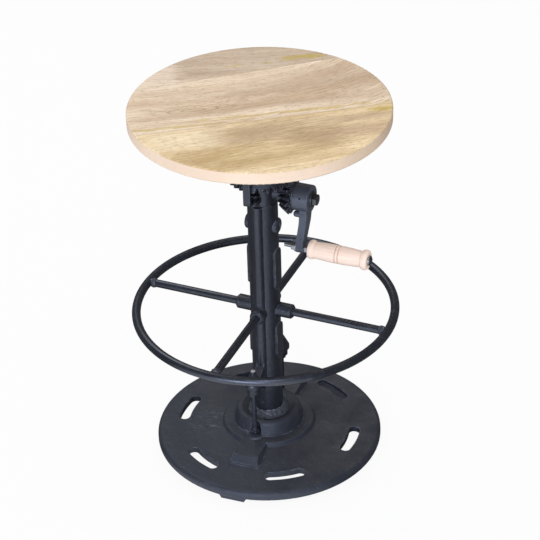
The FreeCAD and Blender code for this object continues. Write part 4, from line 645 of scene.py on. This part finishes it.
eye_fade = put(tree, "Math", {0: math.exp(-0.5), 1: eye_far}, operation="POWER").outputs[0]
figure = put(tree, "Math", {0: eye_fade, 1: EYE_RISE}, operation="MULTIPLY").outputs[0]
figure = put(tree, "Math", {0: figure, 1: bend}, operation="SUBTRACT").outputs[0]
label = put(tree, "Math", {0: figure, 1: in_middle, 2: q}, operation="MULTIPLY_ADD").outputs[0]
label = put(tree, "Math", {0: sway, 1: SWAY, 2: label}, operation="MULTIPLY_ADD").outputs[0]
for inside, shift, climb in ((in_back, BACK_SHIFT, BACK_CLIMB), (in_front, FRONT_SHIFT, FRONT_CLIMB)):
    tilt = put(tree, "Math", {0: p, 1: climb, 2: shift}, operation="MULTIPLY_ADD").outputs[0]
    label = put(tree, "Math", {0: tilt, 1: inside, 2: label}, operation="MULTIPLY_ADD").outputs[0]
flow = put(tree, "CombineXYZ", {"X": p, "Y": label, "Z": place.outputs["Z"]}).outputs[0]


def along_grain(length, width, detail, offset):
    """Noise drawn out along the grain lines: length and width in mm, moved by an offset."""
    drawn = put(tree, "Mapping", {"Vector": flow, "Location": offset,
                                  "Scale": (1 / length, 1 / width, 1 / width)}).outputs[0]
    return put(tree, "TexNoise", {"Vector": drawn, "Scale": 1.0, "Detail": detail}).outputs["Fac"]


clouds = along_grain(260, 26, 2.0, (0.3, 0.1, 0))
streaks = along_grain(150, 3.0, 4.0, (2.1, 0.7, 0))
fine = along_grain(26, 0.9, 2.0, (5.3, 1.9, 0))
pores = along_grain(7.5, 1.1, 1.0, (9.1, 3.3, 0))
tears = along_grain(22, 2.2, 5.0, (3.7, 4.1, 0))
light, dark = srgb("#eddac2"), srgb("#ceb599")
for inside, pale, deep in ((in_back, "#cebba6", "#b49e87"), (in_front, "#f0d8b0", "#d3b88b")):
    light = put(tree, "MixRGB", {"Fac": inside, "Color1": light, "Color2": srgb(pale)}).outputs[0]
    dark = put(tree, "MixRGB", {"Fac": inside, "Color1": dark, "Color2": srgb(deep)}).outputs[0]
shade = put(tree, "MapRange", {"Value": clouds, "From Min": 0.36, "From Max": 0.66}).outputs["Result"]
tone = put(tree, "MixRGB", {"Fac": shade, "Color1": light, "Color2": dark}).outputs[0]

# Patches of stain and figure: middle and half size in mm along and across the planks, the softness of
# the edge as a share of that, how far the grain breaks the edge up, colour and strength
PATCHES = (
    ((-150, 112), (56, 40), 0.25, 0.8, "#e6d4c0", 0.8),
    ((86, 131), (26, 6), 0.40, 3.0, "#b9a23c", 0.75),
    ((-12, 124), (10, 3), 0.5, 3.0, "#bda753", 0.5),
    ((32, 124), (6, 2.5), 0.5, 3.0, "#bda753", 0.5),
    ((104, 62), (96, 28), 1.0, 2.0, "#a98d70", 0.62),
    ((20, 40), (60, 9), 1.0, 2.0, "#ad9174", 0.42),
    ((-30, 78), (100, 16), 1.0, 2.0, "#ead5ba", 0.6),
    ((-92, 10), (56, 15), 1.0, 2.4, "#bba07f", 0.55),
    ((30, 4), (120, 8), 1.0, 2.4, "#b09577", 0.45),
    ((30, -24), (110, 3.2), 0.6, 5.0, "#c3a650", 0.62),
    ((-110, -36), (66, 3.2), 0.6, 5.0, "#c0a551", 0.62),
    ((162, -43), (20, 5), 0.4, 3.0, "#bda43c", 0.75),
    ((-112, -74), (48, 24), 0.5, 1.6, "#ecd9b6", 0.8),
    ((-14, -74), (50, 24), 0.8, 2.6, "#a88d70", 0.68),
    ((-92, -130), (56, 22), 0.9, 2.6, "#b08f56", 0.78),
    ((10, -130), (66, 20), 0.9, 2.6, "#c4a670", 0.6),
    ((62, -98), (30, 24), 0.8, 2.6, "#a2855f", 0.68),
    ((124, -92), (44, 14), 0.9, 2.6, "#b4977d", 0.6),
    ((112, -58), (64, 9), 0.9, 2.6, "#b0967b", 0.55),
)
WOBBLE_LENGTH, WOBBLE = 14, (16.0, 10.0, 0.0)
wobble = put(tree, "TexNoise", {"Vector": planks, "Scale": 1 / WOBBLE_LENGTH, "Detail": 3.0}).outputs["Color"]
wobble = put(tree, "VectorMath", {0: wobble, 1: (0.5, 0.5, 0.5)}, operation="SUBTRACT").outputs[0]
ragged = put(tree, "VectorMath", {0: wobble, 1: WOBBLE, 2: planks}, operation="MULTIPLY_ADD").outputs[0]
for middle, half, softness, broken, colour, strength in PATCHES:
    to_middle = (-middle[0] / half[0], -middle[1] / half[1], 0)
    from_middle = put(tree, "Mapping", {"Vector": ragged, "Location": to_middle,
                                        "Scale": (1 / half[0], 1 / half[1], 0)}).outputs[0]
    from_middle = put(tree, "VectorMath", {0: from_middle}, operation="ABSOLUTE").outputs[0]
    sides = put(tree, "SeparateXYZ", {"Vector": from_middle}).outputs
    far = put(tree, "Math", {0: sides["X"], 1: sides["Y"], 2: 0.5}, operation="SMOOTH_MAX").outputs[0]
    far = put(tree, "Math", {0: tears, 1: broken, 2: far}, operation="MULTIPLY_ADD").outputs[0]
    border = 1 + broken / 2
    amount = put(tree, "MapRange", {"Value": far, "From Min": border + softness,
                                    "From Max": border - softness, "To Max": strength},
                 interpolation_type="SMOOTHSTEP").outputs["Result"]
    tone = put(tree, "MixRGB", {"Fac": amount, "Color1": tone, "Color2": srgb(colour)}).outputs[0]

# Darker streaks, fine grain and pores over the tones: where each starts, where it is full, its colour
# and its strength
GRAIN = (
    (streaks, 0.48, 0.70, "#a18668", 0.26),
    (fine, 0.50, 0.68, "#977b5c", 0.42),
    (pores, 0.59, 0.70, "#7f6549", 0.5),
)
for pattern, start, full, colour, strength in GRAIN:
    amount = put(tree, "MapRange", {"Value": pattern, "From Min": start, "From Max": full,
                                    "To Max": strength}).outputs["Result"]
    tone = put(tree, "MixRGB", {"Fac": amount, "Color1": tone, "Color2": srgb(colour)}).outputs[0]

# Rings of the eye: even steps of the distance from its middle, in shares of its spread, swayed a little
RING_STEP, RING_SWAY = 0.27, 1.2
out = put(tree, "Math", {0: eye_far}, operation="SQRT").outputs[0]
out = put(tree, "Math", {0: sway, 1: RING_SWAY, 2: out}, operation="MULTIPLY_ADD").outputs[0]
ringed = put(tree, "Math", {0: out, 1: RING_STEP}, operation="PINGPONG").outputs[0]
ringed = put(tree, "MapRange", {"Value": ringed, "From Min": 0.11, "From Max": 0.02}).outputs["Result"]
near_eye = put(tree, "MapRange", {"Value": eye_fade, "From Min": 0.15, "From Max": 0.5, "To Max": 0.9})
for part in (near_eye.outputs["Result"], fine):
    ringed = put(tree, "Math", {0: ringed, 1: part}, operation="MULTIPLY").outputs[0]
tone = put(tree, "MixRGB", {"Fac": ringed, "Color1": tone, "Color2": srgb("#86693a")}).outputs[0]

# Glue lines between the planks, about 1 mm wide
for past in (past_back, past_front):
    near = put(tree, "Math", {0: past}, operation="ABSOLUTE").outputs[0]
    glue = put(tree, "MapRange", {"Value": near, "From Min": 1.1, "From Max": 0.2, "To Max": 0.35})
    tone = put(tree, "MixRGB", {"Fac": glue.outputs["Result"], "Color1": tone,
                                "Color2": srgb("#8f7557")}).outputs[0]

# The turned edge is freshly cut and paler, with a pink cast, and painted darker towards the right as
# shade
seat_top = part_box("seat_board")[1][2] / MM
edge = put(tree, "MapRange", {"Value": place.outputs["Z"], "From Min": seat_top - 1.2,
                              "From Max": seat_top - 2.6, "To Max": 0.82}).outputs["Result"]
# Painted shade: the edge darkens towards the right
right_edge_shade = put(tree, "MapRange", {"Value": p, "From Min": 40.0, "From Max": 172.0, "To Max": 0.75})
turned = put(tree, "MixRGB", {"Fac": right_edge_shade.outputs["Result"], "Color1": srgb("#e9d2be"),
                              "Color2": srgb("#bda28b")}).outputs[0]
tone = put(tree, "MixRGB", {"Fac": edge, "Color1": tone, "Color2": turned}).outputs[0]
tree.links.new(tone, shader.inputs["Base Color"])
rough = put(tree, "MapRange", {"Value": streaks, "To Min": 0.42, "To Max": 0.66})
tree.links.new(rough.outputs["Result"], shader.inputs["Roughness"])
normal = put(tree, "Bump", {"Height": fine, "Distance": 0.025 * MM, "Strength": 0.5}).outputs[0]
normal = put(tree, "Bump", {"Height": pores, "Distance": 0.03 * MM, "Strength": 0.5, "Normal": normal},
             invert=True).outputs[0]
tree.links.new(normal, shader.inputs["Normal"])
finish_nodes(seat_wood, "seat_board")

# Floor: plain white studio paper, which keeps the stool's shadow. To mirrored rays it is bright only
# in a pool in front of the stool, so that the upright black faces that look there are lit and others
# stay dark.
POOL_SIDE = (0.10, -0.995, 0)
POOL_EDGE, POOL_FULL = 0.45, 0.95
# Most of what is seen is an even glow, and the rest is lit paper that takes the shadow
GLOW_SHARE = 0.93
paper, tree, shader, here = blank_material("studio_paper")
shader.inputs["Base Color"].default_value = srgb("#d4d4d4")
shader.inputs["Roughness"].default_value = 0.9
rays = put(tree, "LightPath").outputs
bearing = put(tree, "VectorMath", {0: here}, operation="NORMALIZE").outputs[0]
bearing = put(tree, "VectorMath", {0: bearing, 1: POOL_SIDE}, operation="DOT_PRODUCT").outputs["Value"]
pool = put(tree, "MapRange", {"Value": bearing, "From Min": POOL_EDGE, "From Max": POOL_FULL, "To Min": 0.07,
                              "To Max": 1.0}, interpolation_type="SMOOTHSTEP").outputs["Result"]
strength = put(tree, "Math", {0: rays["Is Camera Ray"], 1: pool}, operation="MAXIMUM").outputs[0]
seen = rays["Is Camera Ray"]
for ray in ("Is Glossy Ray", "Is Transmission Ray"):
    seen = put(tree, "Math", {0: seen, 1: rays[ray]}, operation="MAXIMUM").outputs[0]
share = put(tree, "Math", {0: seen, 1: GLOW_SHARE}, operation="MULTIPLY").outputs[0]
glow = put(tree, "Emission", {"Color": (1, 1, 1, 1), "Strength": strength}).outputs[0]
blend = put(tree, "MixShader", {"Fac": share, 1: shader.outputs[0], 2: glow})
tree.links.new(blend.outputs[0], tree.nodes["Material Output"].inputs["Surface"])
floor_half = 6.0
floor_corners = [(-floor_half, -floor_half, 0), (floor_half, -floor_half, 0), (floor_half, floor_half, 0),
                 (-floor_half, floor_half, 0)]
floor_mesh = bpy.data.meshes.new("floor")
floor_mesh.from_pydata(floor_corners, [], [(0, 1, 2, 3)])
floor_mesh.materials.append(paper)
floor = bpy.data.objects.new("floor", floor_mesh)
bpy.context.scene.collection.objects.link(floor)

# Backdrop: the same white paper all round, as the world. The camera sees it white, it lights the
# object evenly, and mirrored rays find it dim but for a low band in front, above the pool.
AMBIENT, MIRRORED, MIRRORED_BAND = 0.93, 0.13, 0.8
world = bpy.data.worlds.new("studio")
bpy.context.scene.world = world
world.use_nodes = True
tree = world.node_tree
rays = put(tree, "LightPath").outputs
mirrored = put(tree, "Math", {0: rays["Is Glossy Ray"], 1: rays["Is Transmission Ray"]},
               operation="MAXIMUM").outputs[0]
looking = put(tree, "TexCoord").outputs["Generated"]
looking_up = put(tree, "SeparateXYZ", {"Vector": looking}).outputs["Z"]
bearing = put(tree, "VectorMath", {0: looking, 1: POOL_SIDE}, operation="DOT_PRODUCT").outputs["Value"]
above_pool = put(tree, "MapRange", {"Value": bearing, "From Min": POOL_EDGE, "From Max": POOL_FULL,
                                    "To Max": MIRRORED_BAND},
                 interpolation_type="SMOOTHSTEP").outputs["Result"]
low_down = put(tree, "MapRange", {"Value": looking_up, "From Min": 0.35, "From Max": 0.10}).outputs["Result"]
shown = put(tree, "Math", {0: above_pool, 1: low_down, 2: MIRRORED}, operation="MULTIPLY_ADD").outputs[0]
level = put(tree, "Mix", {"Factor": mirrored, "A": AMBIENT, "B": shown}).outputs["Result"]
level = put(tree, "Math", {0: rays["Is Camera Ray"], 1: level}, operation="MAXIMUM").outputs[0]
sky = tree.nodes["Background"]
sky.inputs["Color"].default_value = (1, 1, 1, 1)
tree.links.new(level, sky.inputs["Strength"])

# Lamps: a big soft box low in front, a smaller and weaker one higher up in front, and a broad one of
# half the power high at the back left. Sizes are in metres and power in watts.


def stood(right, up, back, at):
    """The placing of a lamp or camera from its three axes and its place."""
    return Matrix([[right[row], up[row], back[row], at[row]] for row in range(3)] + [[0, 0, 0, 1]])


def soft_box(name, at, aim, width, height, power, colour):
    """A rectangular lamp that faces a point."""
    lamp = bpy.data.lights.new(name, "AREA")
    lamp.shape = "RECTANGLE"
    lamp.size = width
    lamp.size_y = height
    lamp.energy = power
    lamp.color = srgb(colour)[:3]
    away = np.subtract(at, aim)
    back = away / np.linalg.norm(away)
    side = np.cross((0, 0, 1), back)
    side /= np.linalg.norm(side)
    box = bpy.data.objects.new(name, lamp)
    box.matrix_world = stood(side, np.cross(back, side), back, at)
    bpy.context.scene.collection.objects.link(box)


soft_box("key_lamp", (0.30, -2.90, 0.78), (0, 0, 0.3), 1.3, 1.4, 31, "#e6eeff")
soft_box("high_lamp", (0.67, -1.53, 2.15), (0, 0, 0.2), 0.7, 1.1, 9, "#eaf0ff")
soft_box("back_lamp", (-1.3, 0.9, 2.6), (0, 0, 0.3), 1.8, 1.8, 16, "#fffdf8")

# Camera: where the photograph was taken from, 3 m off and well above the seat
camera_right = (0.92290477, 0.38422702, -0.02482711)
camera_up = (-0.18787563, 0.50568054, 0.84201541)
camera_back = (0.33607966, -0.77243562, 0.53888187)
camera_at = (0.962026, -2.191589, 1.823816)
camera = bpy.data.cameras.new("camera")
camera.sensor_width = 36
camera.lens = 134.47
camera_stand = bpy.data.objects.new("camera", camera)
camera_stand.matrix_world = stood(camera_right, camera_up, camera_back, camera_at)
bpy.context.scene.collection.objects.link(camera_stand)
bpy.context.scene.camera = camera_stand
bpy.context.scene.view_settings.view_transform = "Standard"
